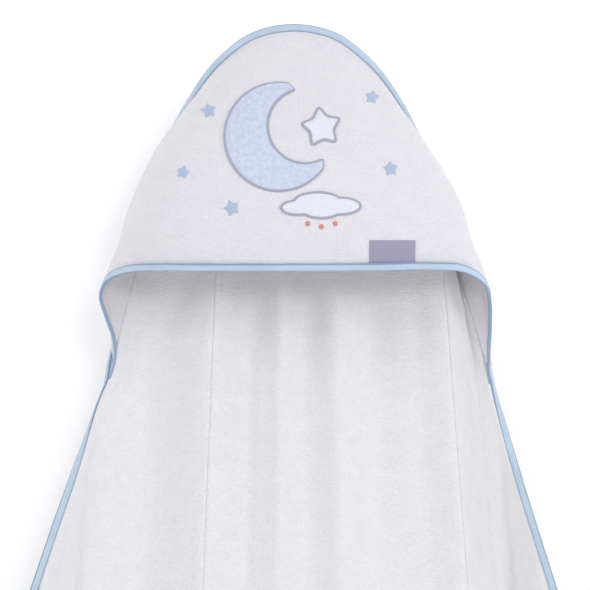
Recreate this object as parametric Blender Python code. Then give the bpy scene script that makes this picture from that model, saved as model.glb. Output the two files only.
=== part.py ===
# Hooded baby bath towel, hung by the crown of its hood, with the hood filled out.
# Metres, +Z up, +X to the right of someone who faces the hood, front at -Y.
# Origin: the top of the hood's seam, where the towel is held.

import math
import bmesh
import bpy
import numpy as np
from mathutils import Vector
from mathutils.bvhtree import BVHTree

MM = 0.001

# the cut, flat
TOWEL_SIDE = 1000 * MM        # square of terry
CORNER_RADIUS = 96 * MM       # all its corners
HOOD_HALF = 286 * MM          # half the hood front's long edge
CLOTH = 2.2 * MM              # thickness of the terry
TAPE_WIDTH = 6.6 * MM         # folded bias tape
EDGE_TAPE = 3.4 * MM          # thickness of the tape over one layer of terry
SEAM_TAPE = 5.6 * MM          # and over the two layers of the hood's seam
GAP = 0.3 * MM                # clear space between two pieces
RIM_GAP = 0.9 * MM            # from a tape to the middle of a rim that tilts, so its corner keeps the gap
PLEAT_GAP = 1.3 * MM          # at the hem where it runs steeply round a pleat
SEWN_GAP = 0.6 * MM           # under what is sewn on to the hood front
FLAP_GAP = 0.5 * MM           # along the waved edges
CORNER_GAP = 0.9 * MM         # and round the side corners
LAYER_OFFSET = (CLOTH + GAP) / 2   # each layer of the hood's seam from its middle, in the tape
OPENED_OFFSET = 2.6 * MM      # and where they part
FLANGE = 3.4 * MM             # straight width of the two layers beside the hood's seam tape
EDGE_FLANGE = 2.6 * MM        # and of the single layer beside the rest of it

HALF_DIAGONAL = TOWEL_SIDE / math.sqrt(2)
CORNER_TRIM = CORNER_RADIUS * (math.sqrt(2) - 1)   # what a rounded corner takes off the diagonal
ARC_HALF = CORNER_RADIUS / math.sqrt(2)            # half width of a rounded corner
CORNER_INSET = 2 * MM                              # from a side corner to the last column
SIDE_REACH = HALF_DIAGONAL - CORNER_TRIM - CORNER_INSET
SIDE_CENTRE = HALF_DIAGONAL - CORNER_RADIUS * math.sqrt(2)   # centre of the side corner's arc, across
SIDE_ARC = HALF_DIAGONAL - ARC_HALF                # where that arc starts

# how it hangs
PHOTO_LEVEL = -498 * MM       # level at which the fold table gives its places
FAN = 0.50                    # spread of the fold lines for each metre of height
FAN_EASE = 1.5                # and how soon it slackens below that level
PLEAT_FORMED = -215 * MM      # level by which the pleats are closed
SHORTEST_BLEND = 50 * MM      # least height in which a column leaves the seam
SEAM_TURN = 30 * MM           # cloth beside a join over which the tape turns to the free edge's way
SEAM_PARTING = 20 * MM        # and over which the second layer ends
PLEAT_GROWTH = 0.31           # metres of height in which the pleats deepen
NECK = 4.6 * MM               # mouth of a pleat, between the middles of its two layers
FLAP_WAVE = 27 * MM           # depth of the waves of the side flaps, low down
FLAP_WAVES = 1.7              # how many of them to each flap
WAVE_FALL = 0.16              # metres below the edge in which they set in
HEM_MEASURE = -950 * MM       # level at which the folded width is measured, to place the hem
CORNER_FROM = 0.80            # share of the reach at which the hem starts to turn to the side corner
CORNER_OVER = 0.17            # and the share over which it does

# the hood's seam from the crown to a join: places in mm, and how far its tape leans back, in degrees
SEAM_ROWS = (
    # x_left, x_right, y, z, lean
    (0, 0, 0, 0, 0),
    (-35, 35, 1, -6.6, 4),
    (-66, 66, 4, -29.0, 18),
    (-93, 94, 12, -66.9, 44),
    (-114, 114, 22, -108, 64),
    (-134, 138, 30, -185, 66),
    (-154, 161, 21, -257, 40),
    (-166, 176, 8, -318, 8),
)

# the towel's edge from a join to a side corner, in mm
EDGE_ROWS = (
    # x_left, x_right, y, z
    (-166, 176, 8, -318),
    (-181.5, 188.5, 3, -357),
    (-205, 207, -7, -419),
    (-229, 229, -14, -489),
    (-266, 264, -20, -600),
    (-301, 298, -6, -700),
    (-327, 324, 10, -775),
    (-337, 334, 12, -822),
)

# the hood front's long edge from its middle to a join, in mm
MOUTH_ROWS = (
    # x_left, z_left, x_right, z_right, y
    (2, -217.8, 2, -217.8, -80),
    (-75, -217.8, 77, -217.3, -76),
    (-120, -217.8, 123, -216.8, -66),
    (-141, -218.8, 145, -218.3, -55),
    (-154, -222.0, 158, -223.5, -44),
    (-165, -228.5, 169, -233.0, -31),
    (-169, -239.0, 172.0, -246.0, -20),
    (-165, -257.0, 172.5, -266.0, -11),
    (-157.5, -281.0, 171.0, -291.0, -4),
    (-160, -305.0, 171.0, -316.0, 2),
)

# fullness of the hood front: how far each of its columns bulges, and which way, 0 being forwards
FULLNESS_ROWS = (
    # across, bulge_left, turn_left, bulge_right, turn_right  (mm, mm, degrees, mm, degrees)
    (0, 36, 0, 36, 0),
    (60, 37, 18, 36, 16),
    (100, 41, 50, 36, 41),
    (130, 28, 60, 30, 53),
    (165, 13, 62, 16, 59),
    (215, 7, 68, 7.5, 68),
    (262, 3, 80, 3, 80),
)

# the back's folds from left to right, in mm, at the level that the hood does not hide.
# seam_from and seam_to say which stretch of the hood's seam feeds them; depth is how far a pleat
# runs back behind its line, and bulb how far it swells to each side there
FOLD_ROWS = (
    # seam_from, seam_to, x, y, depth, bulb, columns before the next row
    (-286, -286, -171, 8, 0, 0, 4),     # left join
    (-238, -200, -131, 13, 22, 5, 4),   # left soft crease
    (-158, -58, -80, -5, 56, 15, 3),    # left line
    (-36, -36, -39, 10, 0, 0, 2),       # hollow
    (-16, -16, -17, 0, 0, 0, 2),        # ridge
    (5, 5, 10, 9, 0, 0, 2),             # hollow
    (27, 27, 43, -2, 0, 0, 2),          # ridge
    (46, 46, 76, 8, 0, 0, 2),           # hollow
    (62, 62, 116, 4, 0, 0, 2),          # level part
    (72, 132, 153, -6, 40, 9, 3),       # right line
    (196, 196, 167, 4, 0, 0, 3),        # hollow
    (286, 286, 181, 8, 0, 0, 0),        # right join
)
LIP = 3.2 * MM                # rounding of a pleat's two lips
LIP_FEED = 0.04               # share of a pleat's cloth that goes into each lip
PLEAT_STEPS = 8               # columns round a pleat
FLAP_STEPS = 10               # columns across a side flap
CORNER_STEPS = 4              # and round its corner
BODY_ROWS = 21                # rows from the seam to the hem
BODY_CROWDING = 1.15          # above 1 the rows are closer together near the seam
HOOD_COLUMNS = 34
HOOD_CROWDING = 1.25          # radians of a sine: the hood front's columns are closer together near the joins
HOOD_ROWS = 9
HOOD_END = HOOD_HALF - 29 * MM        # the hood front's last column, short of the join
MOUTH_TAPE_END = HOOD_HALF - 19 * MM  # and where the tape on its mouth ends
MOUTH_STEPS = 60
MOUTH_STRIP = 0.96            # share of the hood front's depth from which its last slope is taken
CURVE_STEPS = 600             # points along which the length of a curve is measured
NEAR = 2 * MM                 # distance to each side of a point over which a direction is taken

# sewn on to the hood front; places are seen from the front, in mm from the origin
LABEL = (85.5, -199.8, 40.0, 18.4, 1.0)        # x, z, width, height, thickness
LABEL_SIDES = (12, 4)                          # steps along its width and its height
LABEL_CORE = 0.94                              # length of its core, as a share of its width
MOON = (-13.0, -101.0, 47.0, 33.0, 25.0, 2.0)  # x, z, radius, hollow's radius and its shift, thickness
MOON_ENDS = (0.06, 0.94)                       # shares of its arcs where the blunt tips are
MOON_STEPS = 26
MOON_TILT = 22                                 # degrees by which it leans
BIG_STAR = (24.0, -93.0, 19.0, 8, 1.6)         # x, z, reach of its points, turn in degrees, thickness
CLOUD = (24.0, -158.0, 66.0, 27.0, 1.8)        # x, z, width, height, thickness
CLOUD_HUMPS = (
    # x, z, radius, as shares of half the cloud's width and height
    (-0.62, -0.35, 0.44),
    (-0.1, 0.0, 0.62),
    (0.5, -0.25, 0.52),
    (0.0, -0.5, 0.5),
)
CLOUD_STEPS = 60
CLOUD_CORE = 0.55                              # length of its core, as a share of its width
SMALL_STARS = (
    # x, z, reach, turn in degrees
    (-74, -78, 7.5, 12),
    (68, -66, 7.0, -10),
    (-54, -163, 8.0, 20),
    (84, -129, 7.5, 6),
    (-96, -132, 6.5, -14),
)
SMALL_STAR_THICK = 1.2 * MM
STAR_WAIST = 0.52             # a star's inner corners, as a share of its reach
PATCH_RINGS = (0.2, 0.5, 0.8, 1)   # rings of points from a patch's core to its contour
SMALL_RINGS = (0.4, 1)
RAY_START = 20 * MM           # height over the cloth from which its surface is sought
NEWTON_STEPS = 12
NEWTON_NEAR = 0.5 * MM

# colours
WHITE_TERRY = (0.80, 0.79, 0.82, 1)
BLUE_TAPE = (0.47, 0.60, 0.77, 1)
GREY_SATIN = (0.34, 0.33, 0.42, 1)
BLUE_PLUSH = (0.60, 0.68, 0.83, 1)
WHITE_SATIN = (0.84, 0.84, 0.88, 1)


# ---------------------------------------------------------------- curves and surfaces

def through(knots, values, at):
    """Smooth curve through the rows of a table: cubic pieces, each slope taken from its neighbours."""
    knots = np.asarray(knots, float)
    values = np.asarray(values, float)
    slopes = np.gradient(values, knots, axis=0)
    at = np.clip(at, knots[0], knots[-1])
    cell = np.clip(np.searchsorted(knots, at, side="right") - 1, 0, len(knots) - 2)
    width = knots[cell + 1] - knots[cell]
    t = (at - knots[cell]) / width
    start, end = values[cell], values[cell + 1]
    leave, arrive = slopes[cell] * width, slopes[cell + 1] * width
    return ((2 * t**3 - 3 * t**2 + 1) * start + (t**3 - 2 * t**2 + t) * leave
            + (3 * t**2 - 2 * t**3) * end + (t**3 - t**2) * arrive)


def along(points, share):
    """Points at equal shares of the length of a smooth curve through the given points."""
    points = np.asarray(points, float)
    chords = np.linalg.norm(np.diff(points, axis=0), axis=1)
    knots = np.concatenate([[0], np.cumsum(chords)])
    fine = np.linspace(0, knots[-1], CURVE_STEPS)
    dense = np.stack([through(knots, points[:, i], fine) for i in range(points.shape[1])], axis=1)
    steps = np.linalg.norm(np.diff(dense[:, :3], axis=0), axis=1)
    length = np.concatenate([[0], np.cumsum(steps)])
    at = np.asarray(share) * length[-1]
    return np.stack([np.interp(at, length, dense[:, i]) for i in range(points.shape[1])], axis=1)


def smooth(t):
    """0 below 0, 1 above 1, an S between."""
    t = np.clip(t, 0, 1)
    return t * t * (3 - 2 * t)


def unit(vectors):
    return vectors / np.linalg.norm(vectors, axis=-1, keepdims=True)


def flat_top(across):
    """Distance of the flat towel's upper edge below its sharp corner, for a column of the cloth."""
    a = np.abs(across)
    crown = CORNER_RADIUS * math.sqrt(2) - np.sqrt(np.maximum(CORNER_RADIUS**2 - a**2, 0))
    side = HALF_DIAGONAL - np.sqrt(np.maximum(CORNER_RADIUS**2 - np.maximum(a - SIDE_CENTRE, 0)**2, 0))
    top = np.where(a < ARC_HALF, crown, a)
    return np.where(a > SIDE_ARC, side, top)


def edge_length(across):
    """Length of the flat towel's edge from the middle of the crown to a column of the cloth."""
    a = np.abs(across)
    crown = CORNER_RADIUS * np.arcsin(np.clip(a / CORNER_RADIUS, 0, math.sin(math.pi / 4)))
    leg = math.sqrt(2) * (np.clip(a, ARC_HALF, SIDE_ARC) - ARC_HALF)
    turn = math.pi / 4 - np.arccos(np.clip((a - SIDE_CENTRE) / CORNER_RADIUS, math.sin(math.pi / 4), 1))
    return crown + leg + CORNER_RADIUS * turn


SEAM_LENGTH = float(edge_length(HOOD_HALF))


def seam_point(across):
    """Places on the hood's seam and the lean of its tape, for columns of the cloth."""
    left = np.array([(r[0], r[2], r[3], r[4]) for r in SEAM_ROWS]) * MM
    right = np.array([(r[1], r[2], r[3], r[4]) for r in SEAM_ROWS]) * MM
    whole = np.concatenate([left[:0:-1], right])
    share = 0.5 + 0.5 * np.sign(across) * edge_length(across) / SEAM_LENGTH
    found = along(whole, np.clip(share, 0, 1))
    return found[:, :3], found[:, 3] / MM


def edge_point(across):
    """Places on the towel's free edge, for columns outside the joins."""
    left = np.array([(r[0], r[2], r[3]) for r in EDGE_ROWS]) * MM
    right = np.array([(r[1], r[2], r[3]) for r in EDGE_ROWS]) * MM
    share = (edge_length(across) - SEAM_LENGTH) / (edge_length(SIDE_REACH) - SEAM_LENGTH)
    return np.where(np.sign(across)[:, None] < 0, along(left, share), along(right, share))


def mouth_point(across):
    """Places on the hood front's long edge."""
    left = np.array([(r[0], r[4], r[1]) for r in MOUTH_ROWS]) * MM
    right = np.array([(r[2], r[4], r[3]) for r in MOUTH_ROWS]) * MM
    whole = np.concatenate([left[:0:-1], right])
    return along(whole, 0.5 + 0.5 * across / HOOD_HALF)


def seam_frame(across):
    """Seam places, the outward direction of its tape (square to the seam and leant back) and the way back."""
    points, lean = seam_point(across)
    near = np.clip(across - NEAR, -HOOD_HALF, HOOD_HALF)
    far = np.clip(across + NEAR, -HOOD_HALF, HOOD_HALF)
    run = unit(seam_point(far)[0] - seam_point(near)[0])
    upright = unit(np.cross(run, np.array([0.0, 1.0, 0.0])))
    backward = unit(np.cross(upright, run))
    outwards = upright[:, 2:3] + 0.2 * upright[:, 0:1] * np.sign(points[:, 0:1])   # up, or else to the side
    upright *= np.where(outwards < 0, -1, 1)
    backward *= np.where(backward[:, 1:2] < 0, -1, 1)
    angle = np.radians(lean)[:, None]
    out = np.cos(angle) * upright + np.sin(angle) * backward
    back = np.cos(angle) * backward - np.sin(angle) * upright
    return points, out, back


# ---------------------------------------------------------------- the body

def fold_columns():
    """The columns between the joins: what feeds each from the seam, and where it hangs."""
    across, x, y, side, back, depth = [], [], [], [], [], []

    def column(feed, place, level, aside=0.0, behind=0.0, how_deep=0.0):
        across.append(feed)
        x.append(place)
        y.append(level)
        side.append(aside)
        back.append(behind)
        depth.append(how_deep)

    for row, following in zip(FOLD_ROWS, FOLD_ROWS[1:] + (None,)):
        feed, fed, place, level, deep, bulb = (v * MM for v in row[:-1])
        steps = row[-1]
        reach = NECK / 2 + LIP if deep else 0.0
        column(feed, place, level, -reach)
        if deep:
            for turn in np.linspace(0, math.pi, PLEAT_STEPS + 1):
                swell = NECK / 2 + bulb * math.sin(turn) ** 3
                feeding = feed + (fed - feed) * (LIP_FEED + (1 - 2 * LIP_FEED) * turn / math.pi)
                column(feeding, place, level, -math.cos(turn) * swell, math.sin(turn), deep)
            column(fed, place, level, reach)
        if following is None:
            continue
        next_feed, next_place, next_level = (following[i] * MM for i in (0, 2, 3))
        next_reach = NECK / 2 + LIP if following[4] else 0.0
        for share in np.arange(1, steps + 1) / (steps + 1):
            soft = smooth(share)
            column(fed + (next_feed - fed) * share, place + (next_place - place) * share,
                   level + (next_level - level) * soft, reach + (-next_reach - reach) * share)
    return [np.array(v) for v in (across, x, y, side, back, depth)]


def fan(z):
    """How far the fold lines have spread at a height, 1 at the level of the table, slower below it."""
    below = PHOTO_LEVEL - z
    return 1 + FAN * below / (1 + FAN_EASE * np.maximum(below, 0))


def flap_columns(hand):
    """The columns of a side flap, from beside the join, closer together round the side corner."""
    leg = HOOD_HALF + (SIDE_ARC - HOOD_HALF) * np.arange(1, FLAP_STEPS + 1) / FLAP_STEPS
    last = math.acos((SIDE_REACH - SIDE_CENTRE) / CORNER_RADIUS)
    turn = math.pi / 4 + (last - math.pi / 4) * np.arange(1, CORNER_STEPS + 1) / CORNER_STEPS
    across = np.concatenate([leg, SIDE_CENTRE + CORNER_RADIUS * np.cos(turn)])
    return (hand * across)[::hand]


def body_columns():
    """All the columns, and the upper edge of the towel where each begins."""
    left, right = flap_columns(-1), flap_columns(1)
    across, x, y, side, back, depth = fold_columns()
    across = np.concatenate([left, across, right])
    none_left, none_right = np.zeros_like(left), np.zeros_like(right)
    columns = {
        "across": across,
        "x": np.concatenate([none_left, x, none_right]),
        "y": np.concatenate([none_left, y, none_right]),
        "side": np.concatenate([none_left, side, none_right]),
        "back": np.concatenate([none_left, back, none_right]),
        "depth": np.concatenate([none_left, depth, none_right]),
    }
    seam, seam_out, seam_back = seam_frame(np.clip(across, -HOOD_HALF, HOOD_HALF))
    hooded = np.abs(across) <= HOOD_HALF
    top = np.where(hooded[:, None], seam, edge_point(across))
    down = np.array([0.0, 0.0, -1.0])
    run = unit(np.gradient(top, axis=0))
    edge_out = unit((run @ down)[:, None] * run - down)
    turned = smooth((HOOD_HALF - np.abs(across)) / SEAM_TURN)[:, None]
    top_out = unit(seam_out * turned + edge_out * (1 - turned))
    on_hood = smooth((HOOD_HALF - np.abs(across)) / SEAM_PARTING + 0.5)
    layer = seam_back * on_hood[:, None]
    turned_corner = smooth((np.abs(across) - SIDE_ARC) / (SIDE_REACH - SIDE_ARC))
    single = FLAP_GAP + (CORNER_GAP - FLAP_GAP) * turned_corner
    rim = (single + (RIM_GAP - single) * on_hood)[:, None]
    first = top - top_out * (TAPE_WIDTH + rim) + layer * LAYER_OFFSET
    flange = EDGE_FLANGE + (FLANGE - EDGE_FLANGE) * on_hood[:, None]
    start = top - top_out * (TAPE_WIDTH + flange) + layer * OPENED_OFFSET
    outside = np.maximum(np.abs(across) - HOOD_HALF, 0) / (SIDE_REACH - HOOD_HALF)
    flap = outside > 0
    columns["x"][flap] = start[flap, 0]
    columns["y"][flap] = start[flap, 1]
    columns["level"] = np.where(flap, start[:, 2], PHOTO_LEVEL)
    columns["outside"] = outside
    columns["rim"] = single
    columns["pleat"] = np.convolve(columns["side"] != 0, [1, 1, 1], "same") > 0
    columns["top"] = start[:, 2]
    return columns, {"top": top, "top_out": top_out, "on_hood": on_hood, "first": first, "start": start}


def hanging_place(columns, z):
    """Where each column hangs at the heights z: folds, pleats and the flaps' waves."""
    growth = (1 - np.exp(z / PLEAT_GROWTH)) / (1 - math.exp(PHOTO_LEVEL / PLEAT_GROWTH))
    spread = 1 + (fan(z) / fan(columns["level"]) - 1) * (1 - columns["outside"])
    x = columns["x"] * spread + columns["side"]
    y = columns["y"] + (LIP + columns["depth"] * growth) * columns["back"]
    fall = np.maximum(columns["top"] - z, 0)
    wave = FLAP_WAVE * (1 - np.exp(-fall / WAVE_FALL)) * np.sin(2 * math.pi * FLAP_WAVES * columns["outside"])
    return x, y + wave


def body_middle():
    """Middle surface of the square of terry, rows from its upper edge down to its hem, and its edges."""
    columns, edges = body_columns()
    across, top, first, start = columns["across"], edges["top"], edges["first"], edges["start"]
    down = np.array([0.0, 0.0, -1.0])

    # how much flat cloth lies between the middle and each column at the hem
    x, y = hanging_place(columns, np.full_like(across, HEM_MEASURE))
    run = np.concatenate([[0], np.cumsum(np.hypot(np.diff(x), np.diff(y)))])
    middle = np.interp(0, across, run)
    at_hem = np.where(run < middle, (run - middle) / middle, (run - middle) / (run[-1] - middle))
    at_hem *= SIDE_REACH
    length = 2 * HALF_DIAGONAL - flat_top(at_hem) - flat_top(across)
    hem_z = top[:, 2] - length
    corner = smooth((np.abs(across) / SIDE_REACH - CORNER_FROM) / CORNER_OVER)
    hem_x, hem_y = hanging_place(columns, hem_z)
    to_top = corner[:, None] * (top - start)
    hem = np.stack([hem_x + to_top[:, 0], hem_y + to_top[:, 1], hem_z], axis=1)

    # the tape's way out of the hem: down the columns, and square to the hem round the side corners
    slope = np.gradient(flat_top(at_hem), at_hem + np.arange(len(at_hem)) * 1e-9)
    steep = np.sqrt(1 + np.clip(slope, -1, 1) ** 2)
    hem_run = unit(np.gradient(hem, axis=0))
    hem_square = unit(down - (hem_run @ down)[:, None] * hem_run)
    hem_out = down * (steep * (1 - corner))[:, None] + hem_square * corner[:, None]
    rim = np.where(columns["pleat"], PLEAT_GAP, columns["rim"])[:, None]
    last = hem - hem_out * (TAPE_WIDTH + rim)
    end = hem - hem_out * (TAPE_WIDTH + EDGE_FLANGE)

    def offset(place):
        x, y = hanging_place(columns, place[:, 2])
        return np.stack([place[:, 0] - x, place[:, 1] - y], axis=1)

    start_off, end_off = offset(start), offset(end)
    blend = np.maximum(SHORTEST_BLEND, start[:, 2] - PLEAT_FORMED)
    rows = [first]
    for share in np.linspace(0, 1, BODY_ROWS) ** BODY_CROWDING:
        z = start[:, 2] + (end[:, 2] - start[:, 2]) * share
        x, y = hanging_place(columns, z)
        from_top = 1 - smooth((start[:, 2] - z) / blend)
        from_hem = 1 - smooth((z - end[:, 2]) / SHORTEST_BLEND)
        both = np.maximum(from_top + from_hem, 1)
        from_top, from_hem = (from_top / both)[:, None], (from_hem / both)[:, None]
        shift = start_off * from_top + end_off * from_hem
        rows.append(np.stack([x + shift[:, 0], y + shift[:, 1], z], axis=1))
    rows.append(last)
    edges.update({"hem": hem, "hem_out": hem_out})
    return np.array(rows), edges


# ---------------------------------------------------------------- the hood's front

def hood_surface(across, share, paired=False):
    """Middle of the hood front for columns of the cloth, at shares of the way from seam to mouth.

    Each column is a straight line from seam to mouth, bowed outwards by a parabola. The shares are
    taken for all the columns, or one for each column when paired."""
    seam, out, back = seam_frame(across)
    start = seam - out * (TAPE_WIDTH + FLANGE) - back * OPENED_OFFSET
    mouth = mouth_point(across)
    run = unit(mouth_point(across + NEAR) - mouth_point(across - NEAR))
    fall = unit(mouth - start)
    drop = unit(fall - np.sum(fall * run, axis=1, keepdims=True) * run)
    end = mouth - drop * (TAPE_WIDTH + RIM_GAP)
    table = np.array(FULLNESS_ROWS, float)
    rows = [through(table[:, 0] * MM, table[:, i], np.abs(across)) for i in range(1, 5)]
    bulge = np.where(across < 0, rows[0], rows[2]) * MM
    turn = np.radians(np.where(across < 0, rows[1], rows[3])) * np.sign(across)
    outward = np.stack([np.sin(turn), -np.cos(turn), np.zeros_like(turn)], axis=1)
    share = np.asarray(share)[:, None] if paired else np.asarray(share)[:, None, None]
    return start + (end - start) * share + outward * bulge[:, None] * 4 * share * (1 - share)


def hood_middle():
    """The hood front's grid: a first row beside the seam's tape, then the bowed columns."""
    across = np.sin(np.linspace(-1, 1, HOOD_COLUMNS + 1) * HOOD_CROWDING) / math.sin(HOOD_CROWDING) * HOOD_END
    seam, out, back = seam_frame(across)
    first = seam - out * (TAPE_WIDTH + RIM_GAP) - back * LAYER_OFFSET
    share = np.linspace(0, 1, HOOD_ROWS + 1)
    return np.concatenate([first[None], hood_surface(across, share)])


def mouth_tape():
    """Places and outward directions for the tape on the hood's mouth."""
    across = np.linspace(-MOUTH_TAPE_END, MOUTH_TAPE_END, MOUTH_STEPS + 1)
    points = mouth_point(across)
    inner = hood_surface(across, [MOUTH_STRIP, 1.0])
    run = unit(np.gradient(points, axis=0))
    fall = inner[1] - inner[0]
    out = unit(fall - np.sum(fall * run, axis=1, keepdims=True) * run)
    return points, out


# ---------------------------------------------------------------- solids

def add_piece(name, points, faces, colour, roughness):
    """A named object from points and faces, its faces turned outwards, with its own material."""
    mesh = bpy.data.meshes.new(name)
    mesh.from_pydata([tuple(p) for p in points], [], faces)
    mesh.validate()
    form = bmesh.new()
    form.from_mesh(mesh)
    bmesh.ops.recalc_face_normals(form, faces=form.faces)
    bmesh.ops.triangulate(form, faces=form.faces)
    form.to_mesh(mesh)
    form.free()
    piece = bpy.data.objects.new(name, mesh)
    bpy.context.collection.objects.link(piece)
    material = bpy.data.materials.new(name)
    material.use_nodes = True
    shader = material.node_tree.nodes["Principled BSDF"]
    shader.inputs["Base Color"].default_value = colour
    shader.inputs["Roughness"].default_value = roughness
    mesh.materials.append(material)
    mesh.shade_smooth()
    return piece


def grid_faces(rows, columns, start=0, close_rows=False, close_columns=False):
    """Quads of a grid of points, its rows or columns joined round where asked."""
    r = np.arange(rows if close_rows else rows - 1)
    c = np.arange(columns if close_columns else columns - 1)
    r, c = np.meshgrid(r, c, indexing="ij")
    r2, c2 = (r + 1) % rows, (c + 1) % columns
    quads = np.stack([r * columns + c, r * columns + c2, r2 * columns + c2, r2 * columns + c], axis=-1)
    return (quads.reshape(-1, 4) + start).tolist()


def surface_normals(grid):
    return unit(np.cross(np.gradient(grid, axis=1), np.gradient(grid, axis=0)))


def wall(name, middle, thick, colour, roughness):
    """A closed wall on both sides of a grid of points, with a rim all round."""
    rows, columns = middle.shape[:2]
    normals = surface_normals(middle)
    count = rows * columns
    points = np.concatenate([(middle + normals * thick / 2).reshape(-1, 3),
                             (middle - normals * thick / 2).reshape(-1, 3)])
    index = np.arange(count).reshape(rows, columns)
    faces = grid_faces(rows, columns) + [f[::-1] for f in grid_faces(rows, columns, count)]
    for border in (index[0], index[:, -1], index[-1][::-1], index[::-1, 0]):
        for a, b in zip(border, border[1:]):
            faces.append([int(a), int(a) + count, int(b) + count, int(b)])
    return add_piece(name, points, faces, colour, roughness)


# share of the tape's width, share of half its thickness
TAPE_PROFILE = ((0, -1), (0, 1), (0.72, 1), (1, 0.4), (1, -0.4), (0.72, -1))


def tape(name, points, out, half_thick, closed, colour):
    """A folded tape along a line: a flat bar with a rounded outer edge, its width running inwards."""
    run = unit(np.gradient(points, axis=0)) if not closed else unit(
        np.roll(points, -1, axis=0) - np.roll(points, 1, axis=0))
    side = unit(np.cross(run, out))
    rings = []
    for width_share, thick_share in TAPE_PROFILE:
        rings.append(points - out * TAPE_WIDTH * (1 - width_share)
                     + side * (half_thick * thick_share)[:, None])
    grid = np.stack(rings, axis=1)
    rows, columns = grid.shape[:2]
    faces = grid_faces(rows, columns, close_rows=closed, close_columns=True)
    if not closed:
        faces.append(list(range(columns)))
        faces.append([(rows - 1) * columns + i for i in range(columns)][::-1])
    return add_piece(name, grid.reshape(-1, 3), faces, colour, 0.7)


# ---------------------------------------------------------------- what is sewn on

def hood_place(x, z):
    """Points of the hood front seen from the front at x and z, and the outward directions there."""
    across, share, step = x.copy(), np.full_like(x, 0.5), NEWTON_NEAR
    for _ in range(NEWTON_STEPS):
        here = hood_surface(across, share, paired=True)
        sideways = (hood_surface(across + step, share, paired=True) - here) / step
        downwards = (hood_surface(across, share + step, paired=True) - here) / step
        miss_x, miss_z = x - here[:, 0], z - here[:, 2]
        area = sideways[:, 0] * downwards[:, 2] - sideways[:, 2] * downwards[:, 0]
        across = across + (miss_x * downwards[:, 2] - miss_z * downwards[:, 0]) / area
        share = share + (miss_z * sideways[:, 0] - miss_x * sideways[:, 2]) / area
    normal = unit(np.cross(sideways, downwards))
    return here, normal * np.where(normal[:, 1:2] > 0, -1, 1)


def patch(name, contour, core, thick, cloth, colour, shares=PATCH_RINGS):
    """A solid lying on the hood front: rings of points between a core and a closed contour."""
    rings = np.array([core + (contour - core) * s for s in shares])
    rows, columns = rings.shape[:2]
    place, normal = hood_place(*rings.reshape(-1, 2).T * MM)
    lower = []
    for point, out in zip(place, normal):
        found = cloth.ray_cast(Vector(point + out * RAY_START), Vector(-out))[0]
        lower.append(np.array(found) + out * SEWN_GAP)
    lower = np.array(lower)
    count = rows * columns
    points = np.concatenate([lower + normal * thick, lower])
    faces = grid_faces(rows, columns, close_columns=True)
    faces += [f[::-1] for f in grid_faces(rows, columns, count, close_columns=True)]
    ring = list(range(columns))
    faces += [ring[::-1], [count + i for i in ring]]
    edge = [(rows - 1) * columns + i for i in ring]
    for a, b in zip(edge, edge[1:] + edge[:1]):
        faces.append([b, a, a + count, b + count])
    return add_piece(name, points, faces, colour, 0.6)


def star(x, z, reach, turn, points=5, steps=4):
    """Contour of a star with straight sides, in mm, and its core."""
    corner = np.arange(2 * points + 1)
    angle = np.radians(90 + turn) + corner * math.pi / points
    radius = np.where(corner % 2 == 0, reach, reach * STAR_WAIST)
    corners = np.stack([x + radius * np.cos(angle), z + radius * np.sin(angle)], axis=1)
    sides = [corners[:-1] + (corners[1:] - corners[:-1]) * s / steps for s in range(steps)]
    contour = np.stack(sides, axis=1).reshape(-1, 2)
    return contour, np.broadcast_to([x, z], contour.shape)


def crescent():
    """Contour of the crescent moon, outer arc then inner arc, and the line midway between them."""
    x, z, radius, hollow, off, _ = MOON
    meet = math.acos((radius**2 + off**2 - hollow**2) / (2 * radius * off))
    inner_meet = math.pi - math.acos((hollow**2 + off**2 - radius**2) / (2 * hollow * off))
    share = np.linspace(*MOON_ENDS, MOON_STEPS)
    outer_angle = meet + (2 * math.pi - 2 * meet) * share
    inner_angle = inner_meet + (2 * math.pi - 2 * inner_meet) * share
    outer = radius * np.stack([np.cos(outer_angle), np.sin(outer_angle)], axis=1)
    inner = hollow * np.stack([np.cos(inner_angle), np.sin(inner_angle)], axis=1) + [off, 0]
    middle = (outer + inner) / 2
    contour, core = np.concatenate([outer, inner[::-1]]), np.concatenate([middle, middle[::-1]])
    lean = math.radians(MOON_TILT)
    turned = np.array([[math.cos(lean), math.sin(lean)], [-math.sin(lean), math.cos(lean)]])
    return contour @ turned + [x, z], core @ turned + [x, z]


def cloud():
    """Contour of a cloud: three humps over a flat foot with round ends."""
    x, z, width, height, _ = CLOUD
    angle = (np.arange(CLOUD_STEPS) + 0.5) * 2 * math.pi / CLOUD_STEPS
    rays = np.stack([np.cos(angle), np.sin(angle)], axis=1)
    reach = np.zeros(CLOUD_STEPS)
    for hump_x, hump_z, radius in CLOUD_HUMPS:
        along_ray = rays @ [hump_x, hump_z]
        chord = radius**2 - hump_x**2 - hump_z**2 + along_ray**2
        reach = np.maximum(reach, np.where(chord > 0, along_ray + np.sqrt(np.maximum(chord, 0)), 0))
    contour = rays * reach[:, None] * [width, height] / 2
    contour[:, 1] = np.maximum(contour[:, 1], -height / 2)
    contour = contour + [x, z]
    core = np.stack([x + CLOUD_CORE * (contour[:, 0] - x), np.full(CLOUD_STEPS, float(z))], axis=1)
    return contour, core


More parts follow.
